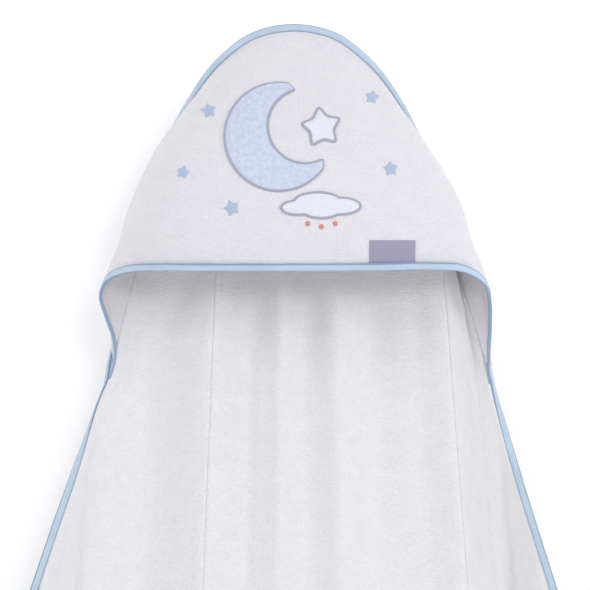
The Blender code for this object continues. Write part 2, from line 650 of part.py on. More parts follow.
def label():
    """Contour of the woven label, a plain rectangle, and its core."""
    x, z, width, height, _ = LABEL
    along_width, along_height = (np.linspace(-0.5, 0.5, steps + 1)[:-1] for steps in LABEL_SIDES)
    sides = [np.stack([along_width, along_width * 0 - 0.5], axis=1),
             np.stack([along_height * 0 + 0.5, along_height], axis=1),
             np.stack([-along_width, along_width * 0 + 0.5], axis=1),
             np.stack([along_height * 0 - 0.5, -along_height], axis=1)]
    contour = np.concatenate(sides) * [width, height] + [x, z]
    core = np.stack([x + LABEL_CORE * (contour[:, 0] - x), np.full(len(contour), float(z))], axis=1)
    return contour, core


def build():
    for thing in list(bpy.data.objects):
        bpy.data.objects.remove(thing, do_unlink=True)
    middle, edges = body_middle()
    wall("towel_body", middle, CLOTH, WHITE_TERRY, 0.95)
    hood = wall("hood_front", hood_middle(), CLOTH, WHITE_TERRY, 0.95)

    top, hem = edges["top"], edges["hem"]
    corner_right = (top[-1] + hem[-1]) / 2 + np.array([CORNER_INSET, 0, 0])
    corner_left = (top[0] + hem[0]) / 2 - np.array([CORNER_INSET, 0, 0])
    points = np.concatenate([top, corner_right[None], hem[::-1], corner_left[None]])
    out = np.concatenate([edges["top_out"], [[1.0, 0, 0]], edges["hem_out"][::-1], [[-1.0, 0, 0]]])
    half = EDGE_TAPE / 2 + (SEAM_TAPE - EDGE_TAPE) / 2 * edges["on_hood"]
    half = np.concatenate([half, [EDGE_TAPE / 2], np.full(len(hem), EDGE_TAPE / 2), [EDGE_TAPE / 2]])
    tape("edge_binding", points, out, half, True, BLUE_TAPE)

    points, out = mouth_tape()
    tape("hood_binding", points, out, np.full(len(points), EDGE_TAPE / 2), False, BLUE_TAPE)

    cloth = BVHTree.FromPolygons([v.co[:] for v in hood.data.vertices],
                                 [list(f.vertices) for f in hood.data.polygons])
    patch("label_tab", *label(), LABEL[-1] * MM, cloth, GREY_SATIN)
    patch("applique_moon", *crescent(), MOON[-1] * MM, cloth, BLUE_PLUSH)
    patch("applique_star", *star(*BIG_STAR[:-1]), BIG_STAR[-1] * MM, cloth, WHITE_SATIN)
    patch("applique_cloud", *cloud(), CLOUD[-1] * MM, cloth, WHITE_SATIN)
    for number, (x, z, reach, turn) in enumerate(SMALL_STARS, 1):
        patch(f"small_star_{number}", *star(x, z, reach, turn, steps=2), SMALL_STAR_THICK, cloth, BLUE_PLUSH,
              shares=SMALL_RINGS)


build()
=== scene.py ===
# Hooded baby bath towel, hung by the crown of its filled-out hood.
# Metres, +Z up, +X to the right of someone who faces the hood, origin at the hood's crown.
import math
import bpy
import numpy as np
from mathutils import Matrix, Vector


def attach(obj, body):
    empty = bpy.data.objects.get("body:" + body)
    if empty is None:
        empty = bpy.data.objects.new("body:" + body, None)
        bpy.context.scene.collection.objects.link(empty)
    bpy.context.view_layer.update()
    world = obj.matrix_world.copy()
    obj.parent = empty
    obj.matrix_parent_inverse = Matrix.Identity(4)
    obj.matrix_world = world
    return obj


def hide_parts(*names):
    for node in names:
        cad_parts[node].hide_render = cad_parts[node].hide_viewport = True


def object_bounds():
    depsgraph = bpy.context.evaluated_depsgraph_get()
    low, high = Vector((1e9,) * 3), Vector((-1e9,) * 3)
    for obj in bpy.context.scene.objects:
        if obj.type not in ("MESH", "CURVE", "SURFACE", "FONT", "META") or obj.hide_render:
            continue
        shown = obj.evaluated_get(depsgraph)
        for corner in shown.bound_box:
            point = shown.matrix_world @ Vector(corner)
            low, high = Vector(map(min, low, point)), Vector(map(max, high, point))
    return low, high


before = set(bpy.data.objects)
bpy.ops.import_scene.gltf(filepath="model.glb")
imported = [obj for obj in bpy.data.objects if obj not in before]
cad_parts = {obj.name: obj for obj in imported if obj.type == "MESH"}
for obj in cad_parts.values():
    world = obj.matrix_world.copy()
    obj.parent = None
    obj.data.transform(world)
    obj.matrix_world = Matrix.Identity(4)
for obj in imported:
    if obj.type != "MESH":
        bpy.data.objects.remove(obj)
cadLow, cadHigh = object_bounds()
mm = 0.001
nudge = 2 * mm                # step for the way on along the seam and the mouth


class Sock:
    # a shader socket that can be added, multiplied and so on: each operation adds its Math node
    def __init__(self, tree, socket=None):
        self.tree, self.socket = tree, socket

    def node(self, kind, settings=None, which=0, **inputs):
        # any node: its settings, then its sockets by name, or by number as i0, i1 and so on
        made = self.tree.nodes.new(kind)
        for name, value in (settings or {}).items():
            setattr(made, name, value)
        for name, value in inputs.items():
            key = int(name[1:]) if name[1:].isdigit() else name.replace("_", " ")
            if isinstance(value, Sock):
                self.tree.links.new(value.socket, made.inputs[key])
            else:
                made.inputs[key].default_value = value
        return Sock(self.tree, made.outputs[which])

    def math(self, operation, other=0.0):
        return self.node("ShaderNodeMath", {"operation": operation}, i0=self, i1=other)

    def flipped(self, operation, other):
        return self.node("ShaderNodeMath", {"operation": operation}, i0=other, i1=self)

    def __add__(self, other):
        return self.math("ADD", other)

    def __radd__(self, other):
        return self.flipped("ADD", other)

    def __sub__(self, other):
        return self.math("SUBTRACT", other)

    def __rsub__(self, other):
        return self.flipped("SUBTRACT", other)

    def __mul__(self, other):
        return self.math("MULTIPLY", other)

    def __rmul__(self, other):
        return self.flipped("MULTIPLY", other)

    def __truediv__(self, other):
        return self.math("DIVIDE", other)

    def __rtruediv__(self, other):
        return self.flipped("DIVIDE", other)

    def __abs__(self):
        return self.math("ABSOLUTE")

    def sine(self):
        return self.math("SINE")

    def atLeast(self, low):
        return self.math("MAXIMUM", low)

    def between(self, low, high):
        # 0 below low, 1 above high, an S between
        return self.node("ShaderNodeMapRange", {"interpolation_type": "SMOOTHSTEP"},
                         i0=self, i1=low, i2=high, i3=0.0, i4=1.0)

    def mixed(self, low, high):
        # a colour: low where this socket is 0, high where it is 1
        return self.node("ShaderNodeMix", {"data_type": "RGBA"}, 2, i0=self, i6=low, i7=high)

    def noise(self, scale, detail, roughness=0.5):
        # Blender's cloudy noise at this place, its scale in lumps a metre
        return self.node("ShaderNodeTexNoise", Vector=self, Scale=scale, Detail=detail, Roughness=roughness)


def scaledColour(colour, share):
    # the same colour with its red, green and blue times a share
    return tuple(min(1, share * part) for part in colour[:3]) + (1,)


matt = dict(specular=0.2, sheenRoughness=0.6, sheenTint=(1, 1, 1, 1))        # what all the cloths share


def material(name, roughness, sheen):
    # a matt cloth with a sheen of loose fibres
    made = bpy.data.materials.new(name)
    made.use_nodes = True
    shader = made.node_tree.nodes["Principled BSDF"]
    shader.inputs["Roughness"].default_value = roughness
    shader.inputs["Specular IOR Level"].default_value = matt["specular"]
    shader.inputs["Sheen Weight"].default_value = sheen
    shader.inputs["Sheen Roughness"].default_value = matt["sheenRoughness"]
    shader.inputs["Sheen Tint"].default_value = matt["sheenTint"]
    return made, Sock(made.node_tree), shader


def clothPlaces(start):
    # the flat cloth's own two directions, in metres, from the piece's UV map
    uv = start.node("ShaderNodeUVMap", {"uv_map": "cloth"})
    u = start.node("ShaderNodeSeparateXYZ", i0=uv)
    return uv, u, Sock(start.tree, u.socket.node.outputs[1])


def finishMaterial(shader, colour, height, look):
    # what changes over a surface: its colour, and its height through a Bump node
    bump = height.node("ShaderNodeBump", Strength=look["bump"], Distance=look["relief"], Height=height)
    height.tree.links.new(bump.socket, shader.inputs["Normal"])
    height.tree.links.new(colour.socket, shader.inputs["Base Color"])


def through(knots, values, at):
    # cubic pieces between the rows of a table, each slope taken from the neighbours
    knots, values = np.asarray(knots, float), np.asarray(values, float)
    slopes = np.gradient(values, knots, axis=0)
    at = np.clip(at, knots[0], knots[-1])
    cell = np.clip(np.searchsorted(knots, at, side="right") - 1, 0, len(knots) - 2)
    width = knots[cell + 1] - knots[cell]
    t = (at - knots[cell]) / width
    start, end = values[cell], values[cell + 1]
    leave, arrive = slopes[cell] * width, slopes[cell + 1] * width
    return ((2 * t**3 - 3 * t**2 + 1) * start + (t**3 - 2 * t**2 + t) * leave
            + (3 * t**2 - 2 * t**3) * end + (t**3 - t**2) * arrive)


def travelled(points):
    # length of a polyline up to each of its points
    return np.concatenate([[0], np.cumsum(np.linalg.norm(np.diff(points, axis=0), axis=1))])


def readOff(at, length, values):
    # each column of values, read off at the given lengths
    return np.stack([np.interp(at, length, column) for column in values.T], axis=1)


def along(points, share, finePoints=3000):
    # points at the given shares of the length of a smooth curve through a table's rows
    knots = travelled(points)
    fine = np.linspace(0, knots[-1], finePoints)
    dense = np.stack([through(knots, column, fine) for column in points.T], axis=1)
    length = travelled(dense[:, :3])
    return readOff(np.asarray(share) * length[-1], length, dense)


def smooth(t):
    # an S from 0 to 1: 3 t^2 - 2 t^3
    t = np.clip(t, 0, 1)
    return t * t * (3 - 2 * t)


def unit(vectors):
    # the same directions, 1 long
    return vectors / np.linalg.norm(vectors, axis=-1, keepdims=True)


def ripples(u, v, pitch, seed, waves=28, spread=(0.6, 1.6)):
    # soft unevenness: the sum of seeded sine waves in all directions, about 1 high at most
    lot = np.random.default_rng(seed)
    turn, phase = lot.uniform(0, 2 * math.pi, (2, waves))
    pitches = pitch * lot.uniform(*spread, waves)
    total = np.zeros(np.broadcast(u, v).shape)
    for angle, shift, size in zip(turn, phase, pitches):
        total += np.sin((u * math.cos(angle) + v * math.sin(angle)) * 2 * math.pi / size + shift)
    return total / math.sqrt(waves) / spread[1]


# The towel's flat cut.
cut = dict(
    side=1000 * mm,           # square of terry
    cornerRadius=96 * mm,
    hoodHalf=286 * mm,        # half the hood front's long edge
    cloth=2.2 * mm,           # thickness of the terry
    tapeWidth=6.8 * mm,       # folded bias tape
    edgeTape=3.5 * mm,        # its thickness over one layer of terry
    seamTape=5.7 * mm,        # and over the two layers of the hood's seam
    tucked=2.4 * mm,          # how far the terry runs into its tape
    flange=0.6 * mm,          # straight width of the cloth beside a tape
    layer=1.15 * mm,          # each layer of the hood's seam from its middle
    clearTip=2 * mm,          # the cloth ends this much before the towel's side corners
)
cut["halfDiagonal"] = cut["side"] / math.sqrt(2)
cut["arcHalf"] = cut["cornerRadius"] / math.sqrt(2)
cut["sideReach"] = cut["halfDiagonal"] - cut["cornerRadius"] * (math.sqrt(2) - 1) - cut["clearTip"]
cut["sideCentre"] = cut["halfDiagonal"] - cut["cornerRadius"] * math.sqrt(2)
cut["sideArc"] = cut["halfDiagonal"] - cut["arcHalf"]

# How it hangs.
hang = dict(
    level=-498 * mm,          # level at which the fold table gives its places
    fan=0.50,                 # spread of the fold lines for each metre of height
    fanEase=1.5,              # and how soon it slackens below that level
    formed=-195 * mm,         # level by which the pleats are closed
    shortestBlend=50 * mm,
    growth=0.31,              # metres of height in which the pleats deepen
    neck=2.0 * mm,            # mouth of a pleat, whose two layers press together
    lip=0.3 * mm,             # rounding of its two lips
    lipFeed=0.03,             # share of a pleat's cloth that lies in each lip
    crowding=1.5,             # the pleat's columns stand closer at its mouth by this power
    flapWave=27 * mm,
    flapWaves=1.7,
    flapWaveOver=0.16,        # metres of fall in which the flaps' waves grow
    leanEnds=30 * mm,         # stretch before a join in which the hood's lean gives way to the edge's
    layersPart=20 * mm,       # and in which its two layers come together
    hemFrom=-0.95,            # level whose folds are shared out along the hem
    cornerFrom=0.80,          # share of the way to a side corner where hem and edge begin to meet
    cornerOver=0.17,
    pleatSteps=26,
    lipSteps=3,
    flapSteps=46,
    cornerSteps=14,
    rows=155,
    rowCrowding=1.15,         # rows stand closer at the top by this power
    softening=5,              # passes that round the folds' ridges
    firmColumns=9,            # over so many columns unevenness fades out beside a pleat
    firmRows=8,               # and so many rows at the top and at the hem
    unevenness=1.1 * mm,      # of the whole cloth
    unevenPitch=0.10,         # metres
    unevenTall=0.35,          # its waves are longer downwards by one over this
    crinkle=0.5 * mm,         # finer, in places
    crinklePitch=0.022,
    crinkleWide=0.6,
    crinklePatch=0.16,
    crinkleGain=1.4,
)

# The hood's seam from the crown to a join: places in mm, and how far its tape leans back, in degrees.
seamRows = (
    # x left, x right, y, z, lean
    (0, 0, 0, 0, 0),
    (-35, 35, 1, -6.6, 4),
    (-66, 66, 4, -29.0, 18),
    (-93, 94, 12, -66.9, 44),
    (-114, 114, 22, -108, 64),
    (-134, 138, 26, -185, 66),
    (-154, 161, 14, -257, 56),
    (-166, 176, 7, -318, 86),
)
# The towel's edge from a join to a side corner.
edgeRows = (
    # x left, x right, y, z
    (-166, 176, 7, -318),
    (-181.5, 188.5, 3, -357),
    (-205, 207, -7, -419),
    (-229, 229, -14, -489),
    (-266, 264, -20, -600),
    (-301, 298, -6, -700),
    (-327, 324, 10, -775),
    (-337, 334, 12, -822),
)
# How far the edge leans back below a join, in degrees.
edgeLeanRows = (
    # z, left, right
    (-318, 92, 80),
    (-331, 96, 62),
    (-348, 86, 45),
    (-384, 52, 28),
    (-430, 14, 6),
    (-480, 0, 0),
)
# The hood front's long edge from its middle to a join.
mouthRows = (
    # x left, z left, x right, z right, y
    (2, -217.8, 2, -217.8, -80),
    (-75, -217.8, 77, -217.3, -76),
    (-120, -217.8, 123, -216.8, -66),
    (-141, -218.8, 145, -218.3, -55),
    (-154, -222.0, 158, -223.5, -44),
    (-165, -228.5, 169, -233.0, -31),
    (-169.5, -240.0, 172.0, -246.0, -20),
    (-165, -257.0, 172.3, -266.0, -11),
    (-157.5, -280.0, 171.3, -289.0, -5),
    (-157.5, -297.0, 171.3, -304.0, -3),
    (-163, -315.0, 172.0, -318.0, 1),
)
# Fullness of the hood front: how far each column bulges, and which way, 0 being forwards.
fullnessRows = (
    # across, bulge left, turn left, bulge right, turn right
    (0, 36, 0, 36, 0),
    (60, 37, 18, 36, 16),
    (100, 41, 50, 36, 41),
    (130, 28, 60, 30, 53),
    (165, 13, 62, 16, 59),
    (215, 7, 68, 7.5, 68),
    (262, 3, 80, 3, 80),
)
# The back's folds from left to right. Between seamFrom and seamTo lies the stretch of seam that feeds one.
foldRows = (
    # seamFrom, seamTo, x, y, depth, bulb, steps to the next
    (-286, -286, -171, 8, 0, 0, 16),
    (-220, -220, -130, 18, 0, 0, 14),
    (-158, -58, -80, -7, 56, 15, 12),
    (-36, -36, -36, 14, 0, 0, 9),
    (-16, -16, -13, -3, 0, 0, 9),
    (5, 5, 13, 11, 0, 0, 9),
    (27, 27, 43, -4, 0, 0, 9),
    (46, 46, 74, 11, 0, 0, 9),
    (62, 62, 116, 2, 0, 0, 10),
    (72, 132, 153, -8, 40, 9, 10),
    (196, 196, 168, 1, 0, 0, 12),
    (286, 286, 181, 8, 0, 0, 0),
)
# Small creases left from folding: place, half size and depth, in mm.
creases = (
    # x, z, half width, half height, depth
    (-52, -427, 15, 2.2, 1.3),
    (-60, -437, 10, 2.0, 1.0),
    (-38, -434, 8, 2.2, 0.9),
    (56, -425, 11, 2.2, 1.0),
    (-30, -505, 12, 2.4, 0.8),
)


def flatTop(across):
    # how far the flat square's upper edge lies below its sharp corner: sides at 45 degrees, round corners
    a, r = np.abs(across), cut["cornerRadius"]
    crown = r * math.sqrt(2) - np.sqrt(np.maximum(r**2 - a**2, 0))
    side = cut["halfDiagonal"] - np.sqrt(np.maximum(r**2 - np.maximum(a - cut["sideCentre"], 0)**2, 0))
    return np.where(a > cut["sideArc"], side, np.where(a < cut["arcHalf"], crown, a))


def edgeLength(across):
    # length of the flat edge from the crown: an arc, a straight side, and the side corner's arc
    a, r, quarter = np.abs(across), cut["cornerRadius"], math.sin(math.pi / 4)
    crown = r * np.arcsin(np.clip(a / r, 0, quarter))
    leg = math.sqrt(2) * (np.clip(a, cut["arcHalf"], cut["sideArc"]) - cut["arcHalf"])
    return crown + leg + r * (math.pi / 4 - np.arccos(np.clip((a - cut["sideCentre"]) / r, quarter, 1)))


seamLength = float(edgeLength(cut["hoodHalf"]))
seamTable, edgeTable, mouthTable = np.array(seamRows), np.array(edgeRows) * mm, np.array(mouthRows)
seamCurve = np.concatenate([seamTable[:0:-1, [0, 2, 3, 4]], seamTable[:, [1, 2, 3, 4]]]) * mm
mouthCurve = np.concatenate([mouthTable[:0:-1, [0, 4, 1]], mouthTable[:, [2, 4, 3]]]) * mm


def seamPoint(across):
    # places along the seam's curve by length from the crown, and their leans
    found = along(seamCurve, np.clip(0.5 + 0.5 * np.sign(across) * edgeLength(across) / seamLength, 0, 1))
    return found[:, :3], found[:, 3] / mm


def edgePoint(across):
    # places along the edge's two curves by length from the joins
    share = (edgeLength(across) - seamLength) / (edgeLength(cut["sideReach"]) - seamLength)
    left, right = along(edgeTable[:, [0, 2, 3]], share), along(edgeTable[:, [1, 2, 3]], share)
    return np.where(np.sign(across)[:, None] < 0, left, right)


def mouthPoint(across):
    # places along the mouth's curve, whose length is shared out evenly over the front's long edge
    return along(mouthCurve, 0.5 + 0.5 * across / cut["hoodHalf"])


def seamFrame(across):
    # seam places, the tape's way out (square to the seam, leant back) and the way back; the way out points
    # up, or outwards where the seam runs down
    points, lean = seamPoint(across)
    near, far = (np.clip(across + step, -cut["hoodHalf"], cut["hoodHalf"]) for step in (-nudge, nudge))
    run = unit(seamPoint(far)[0] - seamPoint(near)[0])
    upright = unit(np.cross(run, np.array([0.0, 1.0, 0.0])))
    backward = unit(np.cross(upright, run))
    upright *= np.where(upright[:, 2:3] + 0.2 * upright[:, 0:1] * np.sign(points[:, 0:1]) < 0, -1, 1)
    backward *= np.where(backward[:, 1:2] < 0, -1, 1)
    lean = np.radians(lean)[:, None]
    out = np.cos(lean) * upright + np.sin(lean) * backward
    return points, out, np.cos(lean) * backward - np.sin(lean) * upright


def pleatColumns(bulb):
    # Round a pleat's section the angle turns to its end and back. Half its width is the neck's half and
    # bulb * sin^3, times cos, and its share of the depth is sin. A lip at each side curls a quarter turn.
    curl = np.linspace(0, math.pi / 2, hang["lipSteps"] + 1)
    turn = math.pi / 2 * np.linspace(0, 1, hang["pleatSteps"] // 2 + 1)[1:] ** hang["crowding"]
    half = np.concatenate([hang["neck"] / 2 + hang["lip"] - hang["lip"] * np.sin(curl),
                           np.cos(turn) * (hang["neck"] / 2 + bulb * np.sin(turn)**3)])
    inward = np.concatenate([(1 - np.cos(curl)) * hang["lip"], hang["lip"] + 0 * turn])
    behind = np.concatenate([0 * curl, np.sin(turn)])
    feed = np.concatenate([hang["lipFeed"] * curl / curl[-1],
                           hang["lipFeed"] + (0.5 - hang["lipFeed"]) * turn / turn[-1]])
    mirror = slice(-2, None, -1)
    return (np.concatenate([feed, 1 - feed[mirror]]), np.concatenate([-half, half[mirror]]),
            np.concatenate([behind, behind[mirror]]), np.concatenate([inward, inward[mirror]]))


def foldColumns():
    # between two rows of the table x runs evenly and y in an S, and a row with a depth is a pleat
    stores = [[] for _ in range(7)]       # across, x, y, sideways, back, depth, lip

    def add(*values):
        values = np.broadcast_arrays(*(np.atleast_1d(v).astype(float) for v in values))
        for store, value in zip(stores, values):
            store.append(value)

    for row, following in zip(foldRows, foldRows[1:] + (None,)):
        feed, fed, place, level, deep, bulb = (v * mm for v in row[:-1])
        reach = hang["neck"] / 2 + hang["lip"] if deep else 0.0
        if deep:
            fedShare, half, behind, inward = pleatColumns(bulb)
            add(feed + (fed - feed) * fedShare, place, level, half, behind, deep, inward)
        else:
            add(feed, place, level, 0, 0, 0, 0)
        if following is None:
            continue
        nextFeed, nextPlace, nextLevel = (following[i] * mm for i in (0, 2, 3))
        nextReach = hang["neck"] / 2 + hang["lip"] if following[4] else 0.0
        share = np.arange(1, row[-1] + 1) / (row[-1] + 1)
        add(fed + (nextFeed - fed) * share, place + (nextPlace - place) * share,
            level + (nextLevel - level) * smooth(share), reach - (nextReach + reach) * share, 0, 0, 0)
    return [np.concatenate(store) for store in stores]


def fan(z):
    # how wide the folds spread at a level: linear just below the table's level, then slackening
    below = hang["level"] - z
    return 1 + hang["fan"] * below / (1 + hang["fanEase"] * np.maximum(below, 0))


def flapColumns(hand):
    # columns beside the hood: even steps along the straight side, then even turns round the side corner
    steps, turns = (np.arange(1, hang[name] + 1) / hang[name] for name in ("flapSteps", "cornerSteps"))
    leg = cut["hoodHalf"] + (cut["sideArc"] - cut["hoodHalf"]) * steps
    last = math.acos((cut["sideReach"] - cut["sideCentre"]) / cut["cornerRadius"])
    turn = math.pi / 4 + (last - math.pi / 4) * turns
    across = np.concatenate([leg, cut["sideCentre"] + cut["cornerRadius"] * np.cos(turn)])
    return (hand * across)[::hand]


def bodyColumns():
    # all columns from one side corner to the other, with where each starts and how the tape stands there
    left, right = flapColumns(-1), flapColumns(1)
    parts = foldColumns()
    across = np.concatenate([left, parts[0], right])
    names = ("x", "y", "sideways", "back", "depth", "lip")
    columns = {n: np.pad(p, (len(left), len(right))) for n, p in zip(names, parts[1:])}
    seam, seamOut, seamBack = seamFrame(np.clip(across, -cut["hoodHalf"], cut["hoodHalf"]))
    top = np.where((np.abs(across) <= cut["hoodHalf"])[:, None], seam, edgePoint(across))
    down = np.array([0.0, 0.0, -1.0])
    run = unit(np.gradient(top, axis=0))
    edgeOut = unit((run @ down)[:, None] * run - down)
    backward = unit(np.cross(run, edgeOut))
    backward *= np.where(backward[:, 1:2] < 0, -1, 1)
    leanTable = np.array(edgeLeanRows, float)[::-1]
    lean = [through(leanTable[:, 0] * mm, leanTable[:, i], top[:, 2]) for i in (1, 2)]
    lean = np.radians(np.where(across < 0, *lean))[:, None]
    edgeOut = np.cos(lean) * edgeOut + np.sin(lean) * backward
    turned = smooth((cut["hoodHalf"] - np.abs(across)) / hang["leanEnds"])[:, None]
    topOut = unit(seamOut * turned + edgeOut * (1 - turned))
    onHood = smooth((cut["hoodHalf"] - np.abs(across)) / hang["layersPart"] + 0.5)
    layer = seamBack * onHood[:, None]
    first = top - topOut * (cut["tapeWidth"] - cut["tucked"]) + layer * cut["layer"]
    start = top - topOut * (cut["tapeWidth"] + cut["flange"]) + layer * cut["layer"]
    outside = np.maximum(np.abs(across) - cut["hoodHalf"], 0) / (cut["sideReach"] - cut["hoodHalf"])
    flap = outside > 0
    columns["x"][flap], columns["y"][flap] = start[flap, 0], start[flap, 1]
    columns.update(across=across, outside=outside, top=start[:, 2],
                   level=np.where(flap, start[:, 2], hang["level"]))
    return columns, dict(top=top, topOut=topOut, onHood=onHood, first=first, start=start)


def hangingPlace(columns, z):
    # fold places spread with depth below the level; pleats deepen and the flaps wave as they go down
    growth = (1 - np.exp(z / hang["growth"])) / (1 - math.exp(hang["level"] / hang["growth"]))
    spread = 1 + (fan(z) / fan(columns["level"]) - 1) * (1 - columns["outside"])
    x = columns["x"] * spread + columns["sideways"]
    y = columns["y"] + columns["lip"] + columns["depth"] * growth * columns["back"]
    fall = np.maximum(columns["top"] - z, 0)
    grown = hang["flapWave"] * (1 - np.exp(-fall / hang["flapWaveOver"]))
    return x, y + grown * np.sin(2 * math.pi * hang["flapWaves"] * columns["outside"])


def hemLine(columns, top, start):
    # the hem's columns share out its length as their folds do; each hangs as low as the flat square reaches
    across, down = columns["across"], np.array([0.0, 0.0, -1.0])
    x, y = hangingPlace(columns, np.full_like(across, hang["hemFrom"]))
    run = np.concatenate([[0], np.cumsum(np.hypot(np.diff(x), np.diff(y)))])
    centre = np.interp(0, across, run)
    atHem = (run - centre) / np.where(run < centre, centre, run[-1] - centre) * cut["sideReach"]
    hemZ = top[:, 2] - (2 * cut["halfDiagonal"] - flatTop(atHem) - flatTop(across))
    corner = smooth((np.abs(across) / cut["sideReach"] - hang["cornerFrom"]) / hang["cornerOver"])
    hemX, hemY = hangingPlace(columns, hemZ)
    hem = np.stack([hemX + corner * (top - start)[:, 0], hemY + corner * (top - start)[:, 1], hemZ], axis=1)
    steep = np.sqrt(1 + np.clip(np.gradient(flatTop(atHem), atHem + np.arange(len(atHem)) * 1e-9), -1, 1)**2)
    hemRun = unit(np.gradient(hem, axis=0))
    hemSquare = unit(down - (hemRun @ down)[:, None] * hemRun)
    return atHem, hem, down * (steep * (1 - corner))[:, None] + hemSquare * corner[:, None]


def bodyMiddle():
    # each column falls from the seam to the hem; near both ends it eases over to where it is sewn
    columns, edges = bodyColumns()
    across, top, first, start = columns["across"], edges["top"], edges["first"], edges["start"]
    atHem, hem, hemOut = hemLine(columns, top, start)
    last = hem - hemOut * (cut["tapeWidth"] - cut["tucked"])
    end = hem - hemOut * (cut["tapeWidth"] + cut["flange"])

    def offset(place):
        x, y = hangingPlace(columns, place[:, 2])
        return np.stack([place[:, 0] - x, place[:, 1] - y], axis=1)

    startOff, endOff = offset(start), offset(end)
    blend = np.maximum(hang["shortestBlend"], start[:, 2] - hang["formed"])
    share = (np.linspace(0, 1, hang["rows"]) ** hang["rowCrowding"])[:, None]
    z = start[:, 2] + (end[:, 2] - start[:, 2]) * share
    x, y = hangingPlace(columns, z)
    fromTop = 1 - smooth((start[:, 2] - z) / blend)
    fromHem = 1 - smooth((z - end[:, 2]) / hang["shortestBlend"])
    both = np.maximum(fromTop + fromHem, 1)
    x = x + (startOff[:, 0] * fromTop + endOff[:, 0] * fromHem) / both
    y = y + (startOff[:, 1] * fromTop + endOff[:, 1] * fromHem) / both
    inner = soften(np.stack([x, y, z], axis=2), hang["softening"], columns["depth"] == 0)
    firm = hang["firmColumns"]
    padded = np.pad((columns["depth"] == 0) * 1.0, firm // 2, mode="edge")
    loose = np.convolve(padded, np.ones(firm) / firm, mode="valid")
    edges.update(hem=hem, hemOut=hemOut, loose=smooth(2 * loose - 1))
    # where each point lies on the flat square: across, and down from its top corner, all but the edges' own
    # rows half a per cent in
    way, wayDown = (np.concatenate([[0], v, [1]])[:, None] for v in (share[:, 0], share[:, 0] * 0.99 + 0.005))
    flatDown = flatTop(across) + wayDown * (2 * cut["halfDiagonal"] - flatTop(atHem) - flatTop(across))
    flat = np.stack([across + (atHem - across) * way, flatDown], axis=2)
    return np.concatenate([first[None], inner, last[None]]), flat, edges


def soften(grid, passes, where):
    # outside the pleats each point moves to the mean of itself and its neighbours along a row
    grid = grid.copy()
    loose = (where[1:-1] & where[:-2] & where[2:])[None, :, None]
    for _ in range(passes):
        mean = 0.25 * grid[:, :-2] + 0.5 * grid[:, 1:-1] + 0.25 * grid[:, 2:]
        grid[:, 1:-1] = np.where(loose, mean, grid[:, 1:-1])
    return grid


hood = dict(
    columns=190,
    rows=84,
    columnCrowding=1.25,      # columns stand closer near the joins: even steps on this much of a sine
    # how far before the left and the right join the cloth ends, at the seam and then at the mouth
    ends=((27 * mm, 14 * mm), (20 * mm, 12 * mm)),
    slantFrom=1.6 / 2.6,      # share of the way to the mouth where it starts to change over
    turnFrom=168 * mm,        # from here to a join the mouth's edge turns forwards
    turnOver=46 * mm,
    turnShare=0.9,
    bulgeRipple=1.0 * mm,     # slow unevenness
    ripplePitch=0.085,        # metres
    rippleTall=0.22,
    pucker=0.55 * mm,         # small folds that run from the seam
    puckerPitch=13 * mm,
    puckerReach=0.09,         # share of the way to the mouth in which they fade
    puckerStart=0.03,
)


def turnedForward(out, run, across):
    # towards its two ends the mouth's edge turns until its fold points forwards
    ahead = unit(run * run[:, 1:2] - np.array([0.0, 1.0, 0.0]))
    share = (hood["turnShare"] * smooth((np.abs(across) - hood["turnFrom"]) / hood["turnOver"]))[:, None]
    return unit(out * (1 - share) + ahead * share)


def hoodSurface(across, share, paired=False):
    # each column is a straight line from seam to mouth, bowed outwards by a parabola
    seam, out, back = seamFrame(across)
    start = seam - out * (cut["tapeWidth"] + cut["flange"]) - back * cut["layer"]
    mouth = mouthPoint(across)
    run = unit(mouthPoint(across + nudge) - mouthPoint(across - nudge))
    fall = unit(mouth - start)
    drop = turnedForward(unit(fall - np.sum(fall * run, axis=1, keepdims=True) * run), run, across)
    end = mouth - drop * (cut["tapeWidth"] - cut["tucked"])
    table = np.array(fullnessRows, float)
    rows = [through(table[:, 0] * mm, table[:, i], np.abs(across)) for i in range(1, 5)]
    bulge = np.where(across < 0, rows[0], rows[2]) * mm
    turn = np.radians(np.where(across < 0, rows[1], rows[3])) * np.sign(across)
    outward = np.stack([np.sin(turn), -np.cos(turn), np.zeros_like(turn)], axis=1)
    share = np.asarray(share)[:, None] if paired else np.asarray(share)[:, None, None]
    bow = 4 * share * (1 - share)
    # the puckers' pitch and height vary along the seam with two slower sines
    length = np.sign(across) * edgeLength(across)
    puckers = np.sin(2 * math.pi * length / hood["puckerPitch"] + 1.5 * np.sin(length * 90))
    puckers = (puckers * (0.6 + 0.4 * np.sin(length * 37)))[:, None]
    puckers = puckers * np.exp(-share / hood["puckerReach"]) * smooth(share / hood["puckerStart"])
    slow = ripples(across[:, None], share * hood["rippleTall"], hood["ripplePitch"], 7) * bow
    swell = bulge[:, None] * bow + hood["pucker"] * puckers + hood["bulgeRipple"] * slow
    return start + (end - start) * share + outward * swell


